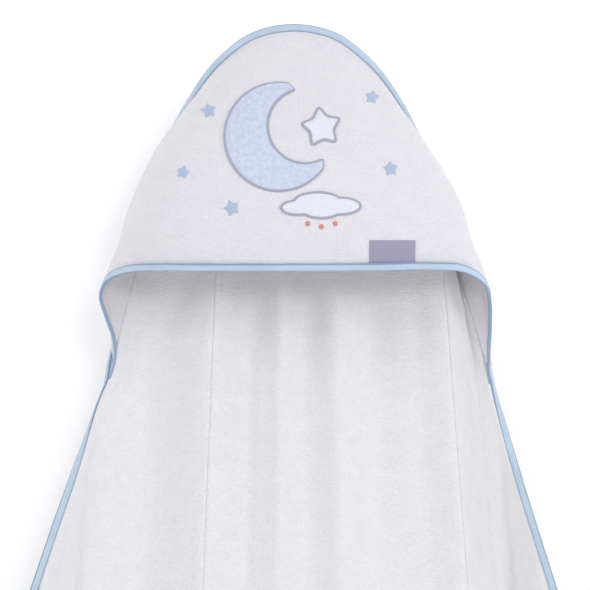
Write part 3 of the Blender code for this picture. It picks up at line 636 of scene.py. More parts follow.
def hoodMiddle():
    # the cloth is cut slanting near the joins: two surfaces, of which the second reaches nearer to them,
    # blended from the seam to the mouth
    bend = hood["columnCrowding"]
    spread = np.sin(np.linspace(-1, 1, hood["columns"] + 1) * bend) / math.sin(bend)
    share = np.linspace(0, 1, hood["rows"] + 1)
    slant = smooth((share - hood["slantFrom"]) / (1 - hood["slantFrom"]))
    slant = np.concatenate([[0], slant])[:, None, None]
    grids, flats = [], []
    for ends in hood["ends"]:
        across = spread * (cut["hoodHalf"] - np.where(spread < 0, *ends))
        seam, out, back = seamFrame(across)
        first = seam - out * (cut["tapeWidth"] - cut["tucked"]) - back * cut["layer"]
        grids.append(np.concatenate([first[None], hoodSurface(across, share)]))
        top = flatTop(across)
        down = top + np.concatenate([[0], 0.02 + 0.98 * share])[:, None] * (cut["hoodHalf"] - top)
        flats.append(np.stack([np.broadcast_to(across, down.shape), down], axis=2))
    return [near + (far - near) * slant for near, far in (grids, flats)]


def gridFaces(rows, columns, closeRows=False, closeColumns=False):
    # four corners for each cell of a grid, whose last row or column may join its first
    r, c = np.meshgrid(np.arange(rows if closeRows else rows - 1),
                       np.arange(columns if closeColumns else columns - 1), indexing="ij")
    here, below = r * columns, (r + 1) % rows * columns
    c2 = (c + 1) % columns
    return np.stack([here + c, here + c2, below + c2, below + c], axis=-1).reshape(-1, 4)


def addMesh(name, points, faces, coat, uv=None, extraFaces=()):
    # a smooth piece on the towel's one body, with its places on the flat cloth
    mesh = bpy.data.meshes.new(name)
    allFaces = np.asarray(faces).tolist() + [list(face) for face in extraFaces]
    mesh.from_pydata(np.asarray(points).tolist(), [], allFaces)
    if uv is not None:
        layer = mesh.uv_layers.new(name="cloth")
        corners = np.empty(len(mesh.loops), dtype=np.int32)
        mesh.loops.foreach_get("vertex_index", corners)
        layer.data.foreach_set("uv", np.asarray(uv)[corners].astype(np.float32).ravel())
    mesh.materials.append(coat)
    mesh.shade_smooth()
    piece = bpy.data.objects.new(name, mesh)
    bpy.context.collection.objects.link(piece)
    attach(piece, "root")
    return piece


def surfaceNormals(grid):
    # square to the grid's rows and columns
    return unit(np.cross(np.gradient(grid, axis=1), np.gradient(grid, axis=0)))


def clothWall(name, middle, flat, thick, coat):
    # two skins half a thickness to each side of the middle surface, joined by a rim all round
    rows, columns = middle.shape[:2]
    offset = surfaceNormals(middle) * thick / 2
    points = np.concatenate([(middle + offset).reshape(-1, 3), (middle - offset).reshape(-1, 3)])
    count = rows * columns
    skin = gridFaces(rows, columns)
    index = np.arange(count).reshape(rows, columns)
    border = np.concatenate([index[0, :-1], index[:-1, -1], index[-1, :0:-1], index[:0:-1, 0]])
    following = np.roll(border, -1)
    rim = np.stack([border, following, following + count, border + count], axis=1)
    uv = np.concatenate([flat.reshape(-1, 2), flat.reshape(-1, 2) + [2.0, 0.0]])
    faces = np.concatenate([skin[:, ::-1], skin + count, rim])
    return addMesh(name, points, faces, coat, uv)


tapeProfile = (
    # share of the width from the inner edge, share of half the thickness
    (0.00, 0.55), (0.03, 0.84), (0.10, 0.97),
    (0.18, 0.90),             # the groove in which the stitches lie
    (0.26, 0.98), (0.45, 1.04), (0.65, 1.04),
    (0.82, 0.98), (0.92, 0.80), (0.98, 0.50), (1.00, 0.0),
)


def headings(points, closed):
    # the way on at each point of a curve: from the point before it to the one after
    if closed:
        return unit(np.roll(points, -1, axis=0) - np.roll(points, 1, axis=0))
    return unit(np.gradient(points, axis=0))


def tape(name, points, out, halfThick, closed, coat, widthShare=1.0):
    # a profile carried along the edge: flat over the cloth, with a groove at the stitches and a round fold
    run = headings(points, closed)
    side = unit(np.cross(run, out))
    profile = np.array(tapeProfile)
    ring = np.concatenate([profile, profile[-2::-1] * [1, -1]])
    wide = np.broadcast_to(widthShare, halfThick.shape)[:, None, None]
    width = -out[:, None] * (cut["tapeWidth"] * (1 - ring[:, 0]))[None, :, None] * wide
    thick = side[:, None] * ring[None, :, 1:2] * halfThick[:, None, None]
    grid = points[:, None] + width + thick
    rows, columns = grid.shape[:2]
    wayRound = np.concatenate([ring[:len(profile), 0], 2 - ring[len(profile):, 0]]) * cut["tapeWidth"]
    uv = np.stack(np.broadcast_arrays(travelled(points)[:, None], wayRound[None]), axis=2).reshape(-1, 2)
    caps = [] if closed else [range(columns - 1, -1, -1), range((rows - 1) * columns, rows * columns)]
    faces = gridFaces(rows, columns, closeRows=closed, closeColumns=True)
    return addMesh(name, grid.reshape(-1, 3), faces, coat, uv, caps), side


def evenly(points, others, spacing, closed=False):
    # the same curve at an even spacing, and what goes with it
    joined = [np.concatenate([v, v[:1]]) if closed else v for v in (points, *others)]
    length = travelled(joined[0])
    at = np.linspace(0, length[-1], int(length[-1] / spacing), endpoint=not closed)
    return [readOff(at, length, v) if v.ndim == 2 else np.interp(at, length, v) for v in joined]


spindleRows = (
    # place along the stitch in lengths, its thickness there and how high it lies, in radii
    (-0.5, 0.25, -0.9),
    (-0.3, 1.0, 0.25),
    (0.3, 1.0, 0.25),
    (0.5, 0.25, -0.9),
)


def stitchRow(name, places, run, up, length, radius, coat, corners=5):
    # one short thread at each place: a spindle of rings, each ring a pentagon round the line of stitches
    station, size, rise = np.array(spindleRows).T * [[length], [radius], [radius]]
    across = np.cross(run, up)
    angle = np.arange(corners) * 2 * math.pi / corners
    grid = (places[:, None, None] + run[:, None, None] * station[None, :, None, None]
            + up[:, None, None] * (rise[:, None] + size[:, None] * np.sin(angle))[None, :, :, None]
            + across[:, None, None] * (size[:, None] * np.cos(angle))[None, :, :, None])
    each = len(spindleRows) * corners
    first = np.arange(len(places)) * each
    skin = gridFaces(len(spindleRows), corners, closeColumns=True)[:, ::-1]
    ends = np.concatenate([first[:, None] + np.arange(corners),
                           first[:, None] + each - 1 - np.arange(corners)])
    return addMesh(name, grid.reshape(-1, 3), (skin + first[:, None, None]).reshape(-1, 4), coat, None, ends)


terryLook = dict(
    body=((0.864, 0.855, 0.848, 1), (0.840, 0.832, 0.831, 1)),        # the faint clouds' two colours
    # the hood's two colours: the body's made darker, as painted shade, and a touch more lilac
    hood=((0.822, 0.810, 0.824, 1), (0.800, 0.789, 0.808, 1)),
    mottle=16 * mm,           # size of those clouds
    cloudEdges=(0.35, 0.65),
    pitShade=(0.62, 0.61, 0.605, 1),        # painted shade: the darker colour between the loops, where the cloth lies low
    pitShadeShare=0.16,
    pitShadeEdges=(0.55, 1.35),
    loop=1.9 * mm,            # size of a terry loop
    uneven=0.85,              # how irregularly the loops stand
    fibres=0.7,               # fibres to a loop
    rowPitch=1.1,             # of the faint rows, in loops
    loopHeight=0.8, fibreHeight=0.9, rowHeight=0.10,
    roughness=0.95, sheen=0.25,
    bump=0.55, relief=0.9 * mm,
)


def terry(name, clouds):
    # loops are cells with dark rims, painted shade where the cloth lies low between them; fine noise roughens
    # them and faint rows cross the cloth
    made, start, shader = material(name, terryLook["roughness"], terryLook["sheen"])
    uv, _, v = clothPlaces(start)
    loops = uv.node("ShaderNodeTexVoronoi", {"feature": "F1"}, Vector=uv,
                    Scale=1 / terryLook["loop"], Randomness=terryLook["uneven"])
    fine = uv.noise(terryLook["fibres"] / terryLook["loop"], 3.0, 0.65)
    rows = (v * (2 * math.pi / (terryLook["loop"] * terryLook["rowPitch"])) + 1.5 * fine).sine()
    height = ((1 - loops) * terryLook["loopHeight"] + fine * terryLook["fibreHeight"]
              + rows * terryLook["rowHeight"])
    cloudsAndTuftShade = uv.noise(1 / terryLook["mottle"], 4.0, 0.6).between(*terryLook["cloudEdges"])
    # painted shade: where the loops' rims and the fine noise lie low, the colour darkens towards the pit
    # colour
    pitShadeMask = (loops * 1.2 + (1 - fine) * 0.5).between(*terryLook["pitShadeEdges"])
    colour = (pitShadeMask * terryLook["pitShadeShare"]).mixed(cloudsAndTuftShade.mixed(clouds[1], clouds[0]), terryLook["pitShade"])
    finishMaterial(shader, colour, height, terryLook)
    return made


tapeLook = dict(
    face=(0.56, 0.69, 0.81, 1), fade=0.93,        # its colour, and how much of it stays in the darker clouds
    clouds=34.0, fuzz=260.0,        # a metre
    twill=0.55 * mm,
    # painted shade: groove is the dark blue at the inner edges and in the stitches' groove, edge the one
    # where the tape folds over
    groove=(0.20, 0.27, 0.40, 1), edge=(0.27, 0.35, 0.48, 1),
    # shares of the width from the inner edge to the fold, and how strong each line of painted shade is
    innerTo=(0.06, 0.13), innerShade=0.95,
    grooveAt=0.17, grooveSteep=14, grooveShade=0.25,
    outerFrom=(0.84, 0.92), foldShade=0.85,
    twillHeight=0.25, fuzzHeight=1.2, grooveDepth=0.8,
    roughness=0.75, sheen=0.15,
    bump=0.5, relief=0.25 * mm,
)


def blueTape():
    # twill in two directions, with painted shade at its inner edges, in its groove and where it folds over
    made, start, shader = material("blueBiasTape", tapeLook["roughness"], tapeLook["sheen"])
    uv, u, v = clothPlaces(start)
    fold = 1 - abs(v / cut["tapeWidth"] - 1)        # 0 at the inner edges, 1 on the fold
    twill = 2 * math.pi / tapeLook["twill"]
    weave = ((u + v) * twill).sine() * ((u - v) * twill).sine()
    groove = (1 - abs(fold - tapeLook["grooveAt"]) * tapeLook["grooveSteep"]).atLeast(0.0)
    faded = scaledColour(tapeLook["face"], tapeLook["fade"])
    colour = uv.noise(tapeLook["clouds"], 2.0).between(0.3, 0.7).mixed(tapeLook["face"], faded)
    # painted shade: the three darker lines laid over the tape's colour
    for mask, shadeShare, tone in ((1 - fold.between(*tapeLook["innerTo"]), "innerShade", "groove"),
                             (fold.between(*tapeLook["outerFrom"]), "foldShade", "edge"),
                             (groove, "grooveShade", "groove")):
        colour = (mask * tapeLook[shadeShare]).mixed(colour, tapeLook[tone])
    height = (weave * tapeLook["twillHeight"] + uv.noise(tapeLook["fuzz"], 3.0, 0.6) * tapeLook["fuzzHeight"]
              - groove * tapeLook["grooveDepth"])
    finishMaterial(shader, colour, height, tapeLook)
    return made


# the darker share is the colour's share in the twist's hollows: painted shade
threadLook = dict(roughness=0.5, sheen=0.1, twist=2400.0, shadeShare=0.85, bump=0.4, relief=0.15 * mm)


def thread(name, colour):
    # twisted fibres, as fine noise over Object coordinates, twist giving its lumps a metre; where that noise
    # lies low the colour is darkened as painted shade
    made, start, shader = material(name, threadLook["roughness"], threadLook["sheen"])
    twist = start.node("ShaderNodeTexCoord", which=3).noise(threadLook["twist"], 2.0)
    tone = twist.between(0.3, 0.7).mixed(scaledColour(colour, threadLook["shadeShare"]), colour)
    finishMaterial(shader, tone, twist, threadLook)
    return made


def roughened(middle, flat, loose):
    # the cloth's middle moved square to itself by slow waves, finer crinkles in places and the creases,
    # each a Gaussian in x and z; all of it fades at the tapes and beside the pleats
    u, v = flat[:, :, 0], flat[:, :, 1]
    uneven = hang["unevenness"] * ripples(u, v * hang["unevenTall"], hang["unevenPitch"], 3)
    patches = smooth(hang["crinkleGain"] * ripples(u, v, hang["crinklePatch"], 11))
    uneven += hang["crinkle"] * ripples(u * hang["crinkleWide"], v, hang["crinklePitch"], 5) * patches
    for x, z, wide, tall, depth in creases:
        away = ((middle[:, :, 0] / mm - x) / wide)**2 + ((middle[:, :, 2] / mm - z) / tall)**2
        uneven -= depth * mm * np.exp(-away)
    rows = np.arange(len(middle))
    fromEnds = smooth((np.minimum(rows, rows[::-1]) - 1) / hang["firmRows"])[:, None]
    return middle + surfaceNormals(middle) * (uneven * fromEnds * loose)[:, :, None]


print("cloth")
# the hood's terry is a darker copy of the body's terry: painted shade
terryCoat, hoodShadedCoat = terry("terryCloth", terryLook["body"]), terry("hoodShadedTerry", terryLook["hood"])
middle, flat, edges = bodyMiddle()
towel = clothWall("towelBody", roughened(middle, flat, edges["loose"]), flat, cut["cloth"], terryCoat)
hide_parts("towel_body")
hoodFront = clothWall("hoodFront", *hoodMiddle(), cut["cloth"], hoodShadedCoat)
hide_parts("hood_front")

tapes = dict(
    edgeSpacing=3 * mm,       # between the rings of the long tape
    mouthRings=240,
    mouthShort=0.5 * mm,      # how far before a join the mouth's tape ends
    narrowOver=42 * mm,       # there it narrows and thins, where it is sewn in
    narrowest=0.35,
    thinnest=0.45,
    fallOver=0.04,            # share of the hood's front, next to the mouth, whose fall the tape carries on
)
print("tapes")
tapeCoat = blueTape()
# the long tape runs left to right over the top, round the right corner and back along the hem
top, hem = edges["top"], edges["hem"]
tip = np.array([cut["clearTip"], 0, 0])
rightCorner, leftCorner = (top[-1] + hem[-1]) / 2 + tip, (top[0] + hem[0]) / 2 - tip
loop = np.concatenate([top, rightCorner[None], hem[::-1], leftCorner[None]])
loopOut = np.concatenate([edges["topOut"], [[1.0, 0, 0]], edges["hemOut"][::-1], [[-1.0, 0, 0]]])
onSeam = np.concatenate([edges["onHood"], np.zeros(len(hem) + 2)])
half = (cut["edgeTape"] + (cut["seamTape"] - cut["edgeTape"]) * onSeam) / 2
loop, loopOut, half = evenly(loop, (loopOut, half), tapes["edgeSpacing"], closed=True)
edgeBinding, side = tape("edgeBinding", loop, loopOut, half, True, tapeCoat)
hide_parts("edge_binding")

# the mouth's tape carries on the fall of the hood's front, square to the mouth
reach = cut["hoodHalf"] - tapes["mouthShort"]
mouthAcross = np.linspace(-reach, reach, tapes["mouthRings"])
mouth = mouthPoint(mouthAcross)
mouthRun = headings(mouth, False)
above, below = hoodSurface(mouthAcross, [1 - tapes["fallOver"], 1.0])
fall = below - above
mouthOut = unit(fall - np.sum(fall * mouthRun, axis=1, keepdims=True) * mouthRun)
mouthOut = turnedForward(mouthOut, mouthRun, mouthAcross)
mouthHalf = np.full(len(mouth), cut["edgeTape"] / 2)
nearJoin = smooth((reach - np.abs(mouthAcross)) / tapes["narrowOver"])
thinned, narrowed = (low + (1 - low) * nearJoin for low in (tapes["thinnest"], tapes["narrowest"]))
hoodBinding, mouthSide = tape("hoodBinding", mouth, mouthOut, mouthHalf * thinned, False, tapeCoat, narrowed)
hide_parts("hood_binding")

stitches = dict(
    inset=1.25 * mm,          # from the tape's inner edge
    pitch=3.4 * mm,
    length=2.5 * mm,
    radius=0.24 * mm,
    height=0.93,              # of half the tape's thickness
    colour=(0.50, 0.62, 0.77, 1),
    bare=14,                  # rings of the mouth's tape without stitches at each end
)
blueThread = thread("blueThread", stitches["colour"])
mouthLine = [v[stitches["bare"]:-stitches["bare"]] for v in (mouth, mouthOut, mouthSide, mouthHalf)]
for name, node, closed, (points, out, across, halfThick) in (
        ("edgeStitches", "edge_binding", True, (loop, loopOut, side, half)),
        ("hoodStitches", "hood_binding", False, mouthLine)):
    points, out, across, halfThick = evenly(points, (out, across, halfThick), stitches["pitch"], closed)
    run = headings(points, closed)
    line = points - out * (cut["tapeWidth"] - stitches["inset"])
    lift = across * (stitches["height"] * halfThick)[:, None]
    row = stitchRow(name, np.concatenate([line + lift, line - lift]), np.concatenate([run, run]),
                    np.concatenate([across, -across]), stitches["length"], stitches["radius"], blueThread)


# What is sewn on to the hood. Its places are seen from the front, in mm from the crown.
def hoodPlace(x, z, tries=9):
    # Newton's steps on across and share until the hood's surface lies behind x and z
    across, share, step = x.copy(), np.full_like(x, 0.5), 0.5 * mm
    for _ in range(tries):
        here = hoodSurface(across, share, True)
        sideways = (hoodSurface(across + step, share, True) - here) / step
        downwards = (hoodSurface(across, share + step, True) - here) / step
        missX, missZ = x - here[:, 0], z - here[:, 2]
        area = sideways[:, 0] * downwards[:, 2] - sideways[:, 2] * downwards[:, 0]
        across = across + (missX * downwards[:, 2] - missZ * downwards[:, 0]) / area
        share = share + (missZ * sideways[:, 0] - missX * sideways[:, 2]) / area
    normal = unit(np.cross(sideways, downwards))
    normal *= np.where(normal[:, 1:2] > 0, -1, 1)
    return here + normal * cut["cloth"] / 2, normal


def evenContour(contour, spacing, fewest=24):
    # a closed outline at an even spacing
    closed = np.concatenate([contour, contour[:1]])
    length = travelled(closed)
    count = max(fewest, int(length[-1] / spacing))
    return readOff(np.arange(count) * length[-1] / count, length, closed)


def around(count, begin=0.0):
    # unit steps round a circle, in x and z
    angle = begin + np.arange(count) * 2 * math.pi / count
    return np.stack([np.cos(angle), np.sin(angle)], axis=1)


# Shares of the way from a patch's core to its outline, closer at the outline.
patchRings = np.concatenate([np.linspace(0.02, 0.8, 9), [0.88, 0.94, 0.975, 0.995, 1.0]])
sunk = dict(patch=0.4 * mm, cord=0.5 * mm)        # how far each goes into the hood's cloth


def padding(name, contour, core, thick, roundness, coat):
    # rings from a core to the contour; height over the hood = thick * (1 - share^roundness)^(1/2)
    plan = core[None] + (contour - core)[None] * patchRings[:, None, None]
    rows, columns = plan.shape[:2]
    place, normal = hoodPlace(*plan.reshape(-1, 2).T * mm)
    rise = (thick * np.sqrt(np.maximum(1 - patchRings ** roundness, 0)))[:, None].repeat(columns, 1).ravel()
    points = np.concatenate([place + normal * rise[:, None], place - normal * sunk["patch"]])
    uv = np.concatenate([plan.reshape(-1, 2) * mm] * 2)
    count, ring = rows * columns, np.arange(columns)
    skin = gridFaces(rows, columns, closeColumns=True)
    edge = (rows - 1) * columns + ring
    rim = np.stack([np.roll(edge, -1), edge, edge + count, np.roll(edge, -1) + count], axis=1)
    faces = np.concatenate([skin, skin[:, ::-1] + count, rim])
    return addMesh(name, points, faces, coat, uv, [ring[::-1], ring + count])


satin = dict(width=2.6, height=1.5, step=0.9, corners=9, flatness=0.8)        # in mm


def satinEdge(name, contour, coat):
    # a half round cord of close stitches along the contour: sin across it and cos^flatness for its height
    spot = evenContour(contour, satin["step"])
    run, corners = headings(spot, True), satin["corners"]
    beside = np.stack([run[:, 1], -run[:, 0]], axis=1)
    angle = np.linspace(-math.pi / 2, math.pi / 2, corners)
    plan = spot[:, None] + beside[:, None] * (np.sin(angle) * satin["width"] / 2)[None, :, None]
    place, normal = hoodPlace(*plan.reshape(-1, 2).T * mm)
    rise = np.tile(np.cos(angle) ** satin["flatness"] * satin["height"] * mm, len(spot))[:, None]
    over = (place + normal * rise).reshape(len(spot), corners, 3)
    under = (place - normal * sunk["cord"]).reshape(len(spot), corners, 3)[:, [-1, 0]]
    grid = np.concatenate([over, under], axis=1)
    wayRound = np.concatenate([np.linspace(0, 1, corners), [1.2, 1.4]]) * satin["width"]
    uv = np.stack(np.broadcast_arrays(travelled(spot)[:, None], wayRound[None]), axis=2).reshape(-1, 2) * mm
    faces = gridFaces(len(spot), corners + 2, closeRows=True, closeColumns=True)
    return addMesh(name, grid.reshape(-1, 3), faces, coat, uv)


# Places and sizes of the motifs are in mm, their turns in degrees.
moon = dict(
    x=-13.0, z=-101.0,
    radius=47.0,
    hollow=33.0,              # radius of the circle cut out of it
    offCentre=25.0,           # and how far that lies from its own
    tilt=22,
    blunt=0.06,               # share of each arc left off at both tips
    points=110,
    thick=1.9, roundness=5,
)
star = dict(
    place=(24.0, -93.0, 19.0, 8),        # x, z, reach, turn
    waist=0.52,               # inner corners of this star and the small ones, in reaches
    softening=4,              # passes that round their corners
    thick=1.5, roundness=5,
)
smallStars = dict(
    places=(
        # x, z, reach, turn
        (-74, -78, 7.5, 12),
        (68, -66, 7.0, -10),
        (-54, -163, 8.0, 20),
        (84, -129, 7.5, 6),
        (-96, -132, 6.5, -14),
    ),
    thick=1.3, roundness=3,
)
cloud = dict(
    x=24.0, z=-158.0, width=66.0, height=27.0,
    humps=(
        # x, z, radius, in half widths and half heights
        (-0.62, -0.35, 0.44),
        (-0.1, 0.0, 0.62),
        (0.5, -0.25, 0.52),
        (0.0, -0.5, 0.5),
    ),
    rays=160,
    thick=1.7, roundness=5,
)
knots = dict(places=((12, -176.5), (24, -179), (36, -176.5)), reach=2.3, corners=24, thick=1.2, roundness=2)
label = dict(
    x=85.5, z=-200.6, width=40.0, height=20.0,
    thick=0.9, roundness=12,
    stitchHeights=(0.42, -0.30, 8),        # highest and lowest stitch in label heights, and how many
    stitchInset=1.4, stitchLength=1.7, stitchRadius=0.2,
)


def starContour(x, z, reach, turn):
    # ten corners, every other one at the waist, rounded by moving each point to its neighbours' mean
    radius = np.where(np.arange(10) % 2 == 0, reach, reach * star["waist"])
    spots = evenContour([x, z] + radius[:, None] * around(10, math.radians(90 + turn)), reach / 9)
    for _ in range(star["softening"]):
        spots = 0.25 * np.roll(spots, 1, axis=0) + 0.5 * spots + 0.25 * np.roll(spots, -1, axis=0)
    return spots, np.broadcast_to([x, z], spots.shape).astype(float)


def moonContour():
    # the arcs of two circles between the points where they meet, the whole turned by its tilt
    radius, hollow, off = moon["radius"], moon["hollow"], moon["offCentre"]
    meet = math.acos((radius**2 + off**2 - hollow**2) / (2 * radius * off))
    innerMeet = math.pi - math.acos((hollow**2 + off**2 - radius**2) / (2 * hollow * off))
    share = np.linspace(moon["blunt"], 1 - moon["blunt"], moon["points"])

    def arc(reach, begin, shift):
        angle = begin + (2 * math.pi - 2 * begin) * share
        return reach * np.stack([np.cos(angle), np.sin(angle)], axis=1) + [shift, 0]

    outer, inner = arc(radius, meet, 0), arc(hollow, innerMeet, off)
    middle = (outer + inner) / 2
    lean = math.radians(moon["tilt"])
    turned = np.array([[math.cos(lean), math.sin(lean)], [-math.sin(lean), math.cos(lean)]])
    return [np.concatenate(pair) @ turned + [moon["x"], moon["z"]]
            for pair in ((outer, inner[::-1]), (middle, middle[::-1]))]


def cloudContour():
    # the farthest point of any hump along each ray from the middle, cut off flat below
    rays = around(cloud["rays"], math.pi / cloud["rays"])
    reach = np.zeros(cloud["rays"])
    for x, z, radius in cloud["humps"]:
        ahead = rays @ [x, z]
        chord = radius**2 - x**2 - z**2 + ahead**2
        reach = np.maximum(reach, np.where(chord > 0, ahead + np.sqrt(np.maximum(chord, 0)), 0))
    contour = rays * reach[:, None] * [cloud["width"] / 2, cloud["height"] / 2]
    contour[:, 1] = np.maximum(contour[:, 1], -cloud["height"] / 2)
    return [contour * share + [cloud["x"], cloud["z"]] for share in (1.0, [0.55, 0.0])]


def labelContour():
    # a rectangle, its core a line along its middle
    wide, high = label["width"] / 2, label["height"] / 2
    spots = evenContour(np.array([(-wide, -high), (wide, -high), (wide, high), (-wide, high)]), 1.0)
    return [spots * share + [label["x"], label["z"]] for share in (1.0, [0.94, 0.0])]


plushLook = dict(
    # light is the tufts' tops as painted light, deep the hollows between them as painted shade
    paintedLight=(0.69, 0.76, 0.87, 1), deep=(0.56, 0.64, 0.79, 1),
    fur=1100.0, tufts=260.0,        # lumps a metre
    furColour=0.4, tuftColour=0.6, edges=(0.35, 0.62),
    furHeight=0.6, tuftHeight=1.0,
    roughness=0.9, sheen=0.35,
    bump=0.7, relief=0.9 * mm,
)


def plushCoat():
    # tufts of short fur: painted shade between them, their tops painted lighter
    made, start, shader = material("palePlush", plushLook["roughness"], plushLook["sheen"])
    uv = start.node("ShaderNodeUVMap", {"uv_map": "cloth"})
    fur, tufts = uv.noise(plushLook["fur"], 4.0, 0.7), uv.noise(plushLook["tufts"], 3.0, 0.6)
    cloudsAndTuftShade = (tufts * plushLook["tuftColour"] + fur * plushLook["furColour"]).between(*plushLook["edges"])
    height = tufts * plushLook["tuftHeight"] + fur * plushLook["furHeight"]
    finishMaterial(shader, cloudsAndTuftShade.mixed(plushLook["deep"], plushLook["paintedLight"]), height, plushLook)
    return made


# Here uneven is in lumps a metre; the shade share and the light share say how much of its colour the other
# tone has: painted shade between the stitched threads, painted light on the woven threads' raised parts.
stitchedLook = dict(roughness=0.42, sheen=0.2, uneven=700.0, shadeShare=0.72, bump=0.5, relief=0.25 * mm)
wovenLook = dict(sheen=0.1, uneven=500.0, paintedLight=1.12, weft=0.8, bump=0.4, relief=0.15 * mm)


def stitchedCoat(name, colour, pitch):
    # close threads across the band: a fine ridge for each, with a little unevenness; between the ridges the
    # colour is darkened as painted shade
    made, start, shader = material(name, stitchedLook["roughness"], stitchedLook["sheen"])
    uv, u, _ = clothPlaces(start)
    uneven = uv.noise(stitchedLook["uneven"], 2.0)
    threads = (u * (2 * math.pi / pitch) + uneven * 1.5).sine()
    tone = threads.between(-0.9, 0.5).mixed(scaledColour(colour, stitchedLook["shadeShare"]), colour)
    finishMaterial(shader, tone, threads * 0.5 + uneven * 0.4, stitchedLook)
    return made


def wovenCoat(name, colour, pitch, roughness):
    # warp times weft, each a sine; where the weave stands higher its colour is painted lighter, a painted
    # highlight
    made, start, shader = material(name, roughness, wovenLook["sheen"])
    uv, u, v = clothPlaces(start)
    weave = (u * (2 * math.pi / pitch)).sine() * (v * (2 * math.pi / (pitch * wovenLook["weft"]))).sine()
    uneven = uv.noise(wovenLook["uneven"], 3.0)
    tone = (weave * 0.5 + uneven).between(0.1, 0.9).mixed(colour, scaledColour(colour, wovenLook["paintedLight"]))
    finishMaterial(shader, tone, weave + uneven, wovenLook)
    return made


finishes = dict(
    # colour, pitch of the threads and, where it is woven, roughness
    satin=((0.80, 0.82, 0.88, 1), 0.5 * mm, 0.4),
    label=((0.36, 0.34, 0.45, 1), 0.6 * mm, 0.5),
    lilac=((0.50, 0.50, 0.62, 1), 0.55 * mm),
    blue=((0.52, 0.65, 0.84, 1), 0.55 * mm),
    coral=((0.86, 0.36, 0.27, 1), 0.5 * mm),
)
print("moon, stars, cloud and label")
plush = plushCoat()
whiteSatin = wovenCoat("whiteSatin", *finishes["satin"])
labelCoat = wovenCoat("greyLabel", *finishes["label"])
lilacStitch = stitchedCoat("lilacStitches", *finishes["lilac"])
blueStitch = stitchedCoat("blueStitches", *finishes["blue"])
coralStitch = stitchedCoat("coralKnots", *finishes["coral"])
lilacThread = thread("lilacThread", finishes["lilac"][0])


def sewOn(name, node, outline, look, coat, edgeCoat=None):
    # a padded patch in place of its CAD node, most with a cord of stitches round it
    piece = padding(name, *outline, look["thick"] * mm, look["roundness"], coat)
    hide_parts(node)
    if edgeCoat:
        satinEdge(name + "Edge", outline[0], edgeCoat)


sewOn("moon", "applique_moon", moonContour(), moon, plush, lilacStitch)
sewOn("bigStar", "applique_star", starContour(*star["place"]), star, whiteSatin, lilacStitch)
sewOn("cloud", "applique_cloud", cloudContour(), cloud, whiteSatin, lilacStitch)
for number, place in enumerate(smallStars["places"], 1):
    sewOn(f"smallStar{number}", f"small_star_{number}", starContour(*place), smallStars, blueStitch)
for number, place in enumerate(knots["places"], 1):
    dot = around(knots["corners"]) * knots["reach"] + place
    core = np.broadcast_to(place, dot.shape).astype(float)
    knot = padding(f"coralKnot{number}", dot, core, knots["thick"] * mm, knots["roundness"], coralStitch)
sewOn("labelTab", "label_tab", labelContour(), label, labelCoat)

heights = (np.linspace(*label["stitchHeights"]) * label["height"] + label["z"]) * mm
for hand, name in ((-1, "labelStitchesLeft"), (1, "labelStitchesRight")):
    across = np.full_like(heights, label["x"] + hand * (label["width"] / 2 - label["stitchInset"])) * mm
    spots, facing = hoodPlace(across, heights)
    row = stitchRow(name, spots + facing * label["thick"] * mm, headings(spots, False), facing,
                    label["stitchLength"] * mm, label["stitchRadius"] * mm, lilacThread)


# The room, the light and the camera, in metres and watts.
room = dict(
    wallBehind=92 * mm, floorBelow=40 * mm,
    wallSpan=3, wallTop=2.5, wallWhite=(0.93, 0.93, 0.93, 1), wallGlow=0.22,
    floorSpan=6, floorFront=-8, floorBack=6, floorWhite=(0.85, 0.85, 0.85, 1),
    lamps=(
        # name, place, size, power
        ("keyLight", (0.36, -2.6, 0.43), 0.6, 11.4),
        ("fillLight", (-0.3, -2.4, -1.3), 1.2, 6.5),
        ("leftLight", (-2.4, -1.7, 1.2), 1.2, 22.0),
        ("rightLight", (2.5, -1.6, 0.57), 1.2, 24.5),
    ),
    lampColour=(0.955, 0.962, 1.055), lampAim=(0, 0, -0.35),
    world=0.49, skyColour=(1.0, 0.995, 0.985, 1),
    sensor=36,                # mm
    cameraBack=7.0, seenWidth=519.2 * mm, lookAt=(0.001, -0.2385),        # x and z
)


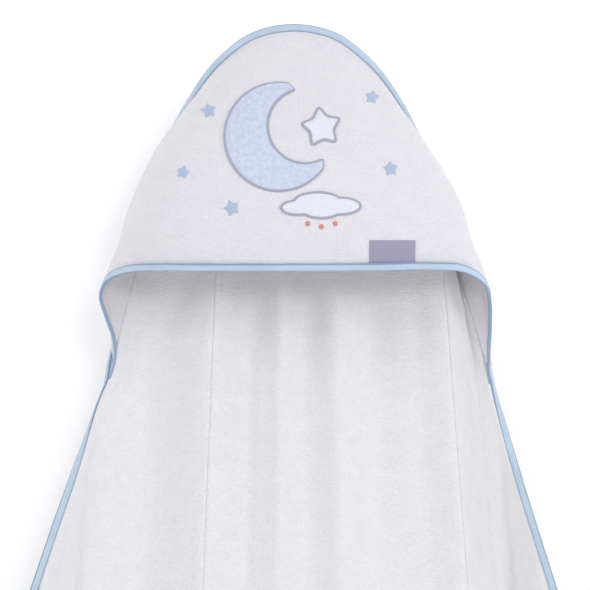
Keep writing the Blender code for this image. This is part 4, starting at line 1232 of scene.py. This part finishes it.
def plain(name, colour, glow):
    # a matt paint that is clear when seen from behind, so the towel's back can be looked at
    made = bpy.data.materials.new(name)
    made.use_nodes = True
    tree = made.node_tree
    shader = tree.nodes["Principled BSDF"]
    for socket, value in (("Base Color", colour), ("Roughness", 1.0), ("Specular IOR Level", 0.0),
                          ("Emission Color", (1, 1, 1, 1)), ("Emission Strength", glow)):
        shader.inputs[socket].default_value = value
    start = Sock(tree)
    behind = start.node("ShaderNodeNewGeometry", which=6)
    clear = start.node("ShaderNodeBsdfTransparent")
    mixed = start.node("ShaderNodeMixShader", i0=behind, i1=Sock(tree, shader.outputs[0]), i2=clear)
    tree.links.new(mixed.socket, tree.nodes["Material Output"].inputs[0])
    return made


def staged(name, corners, coat):
    # a flat rectangle of the studio
    mesh = bpy.data.meshes.new(name)
    mesh.from_pydata(corners, [], [(0, 1, 2, 3)])
    mesh.materials.append(coat)
    piece = bpy.data.objects.new(name, mesh)
    bpy.context.collection.objects.link(piece)


def softLight(name, place, size, power):
    # a round lamp aimed at the towel
    lamp = bpy.data.lights.new(name, "AREA")
    lamp.shape, lamp.size, lamp.energy, lamp.color = "DISK", size, power, room["lampColour"]
    holder = bpy.data.objects.new(name, lamp)
    holder.location = place
    aim = np.array(room["lampAim"]) - np.array(place)
    tilt = math.acos(-aim[2] / np.linalg.norm(aim))
    holder.rotation_euler = (tilt, 0, math.atan2(aim[1], aim[0]) - math.pi / 2)
    bpy.context.collection.objects.link(holder)


print("room")
low, back = cadLow[2] - room["floorBelow"], room["wallBehind"]
wide, high = room["wallSpan"], room["wallTop"]
staged("wall", [(-wide, back, low), (wide, back, low), (wide, back, high), (-wide, back, high)],
       plain("wallPaint", room["wallWhite"], room["wallGlow"]))
wide, near, far = room["floorSpan"], room["floorFront"], room["floorBack"]
staged("floor", [(-wide, near, low), (wide, near, low), (wide, far, low), (-wide, far, low)],
       plain("floorPaint", room["floorWhite"], 0.0))
for lamp in room["lamps"]:
    softLight(*lamp)
world = bpy.data.worlds.new("studio")
world.use_nodes = True
world.node_tree.nodes["Background"].inputs[0].default_value = room["skyColour"]
world.node_tree.nodes["Background"].inputs[1].default_value = room["world"]
bpy.context.scene.world = world
bpy.context.scene.view_settings.view_transform = "Standard"

lens = bpy.data.cameras.new("camera")
lens.sensor_width = room["sensor"]
lens.lens = room["sensor"] * room["cameraBack"] / room["seenWidth"]
lens.clip_end = 100
camera = bpy.data.objects.new("camera", lens)
camera.location = (room["lookAt"][0], -room["cameraBack"], room["lookAt"][1])
camera.rotation_euler = (math.pi / 2, 0, 0)
bpy.context.collection.objects.link(camera)
bpy.context.scene.camera = camera
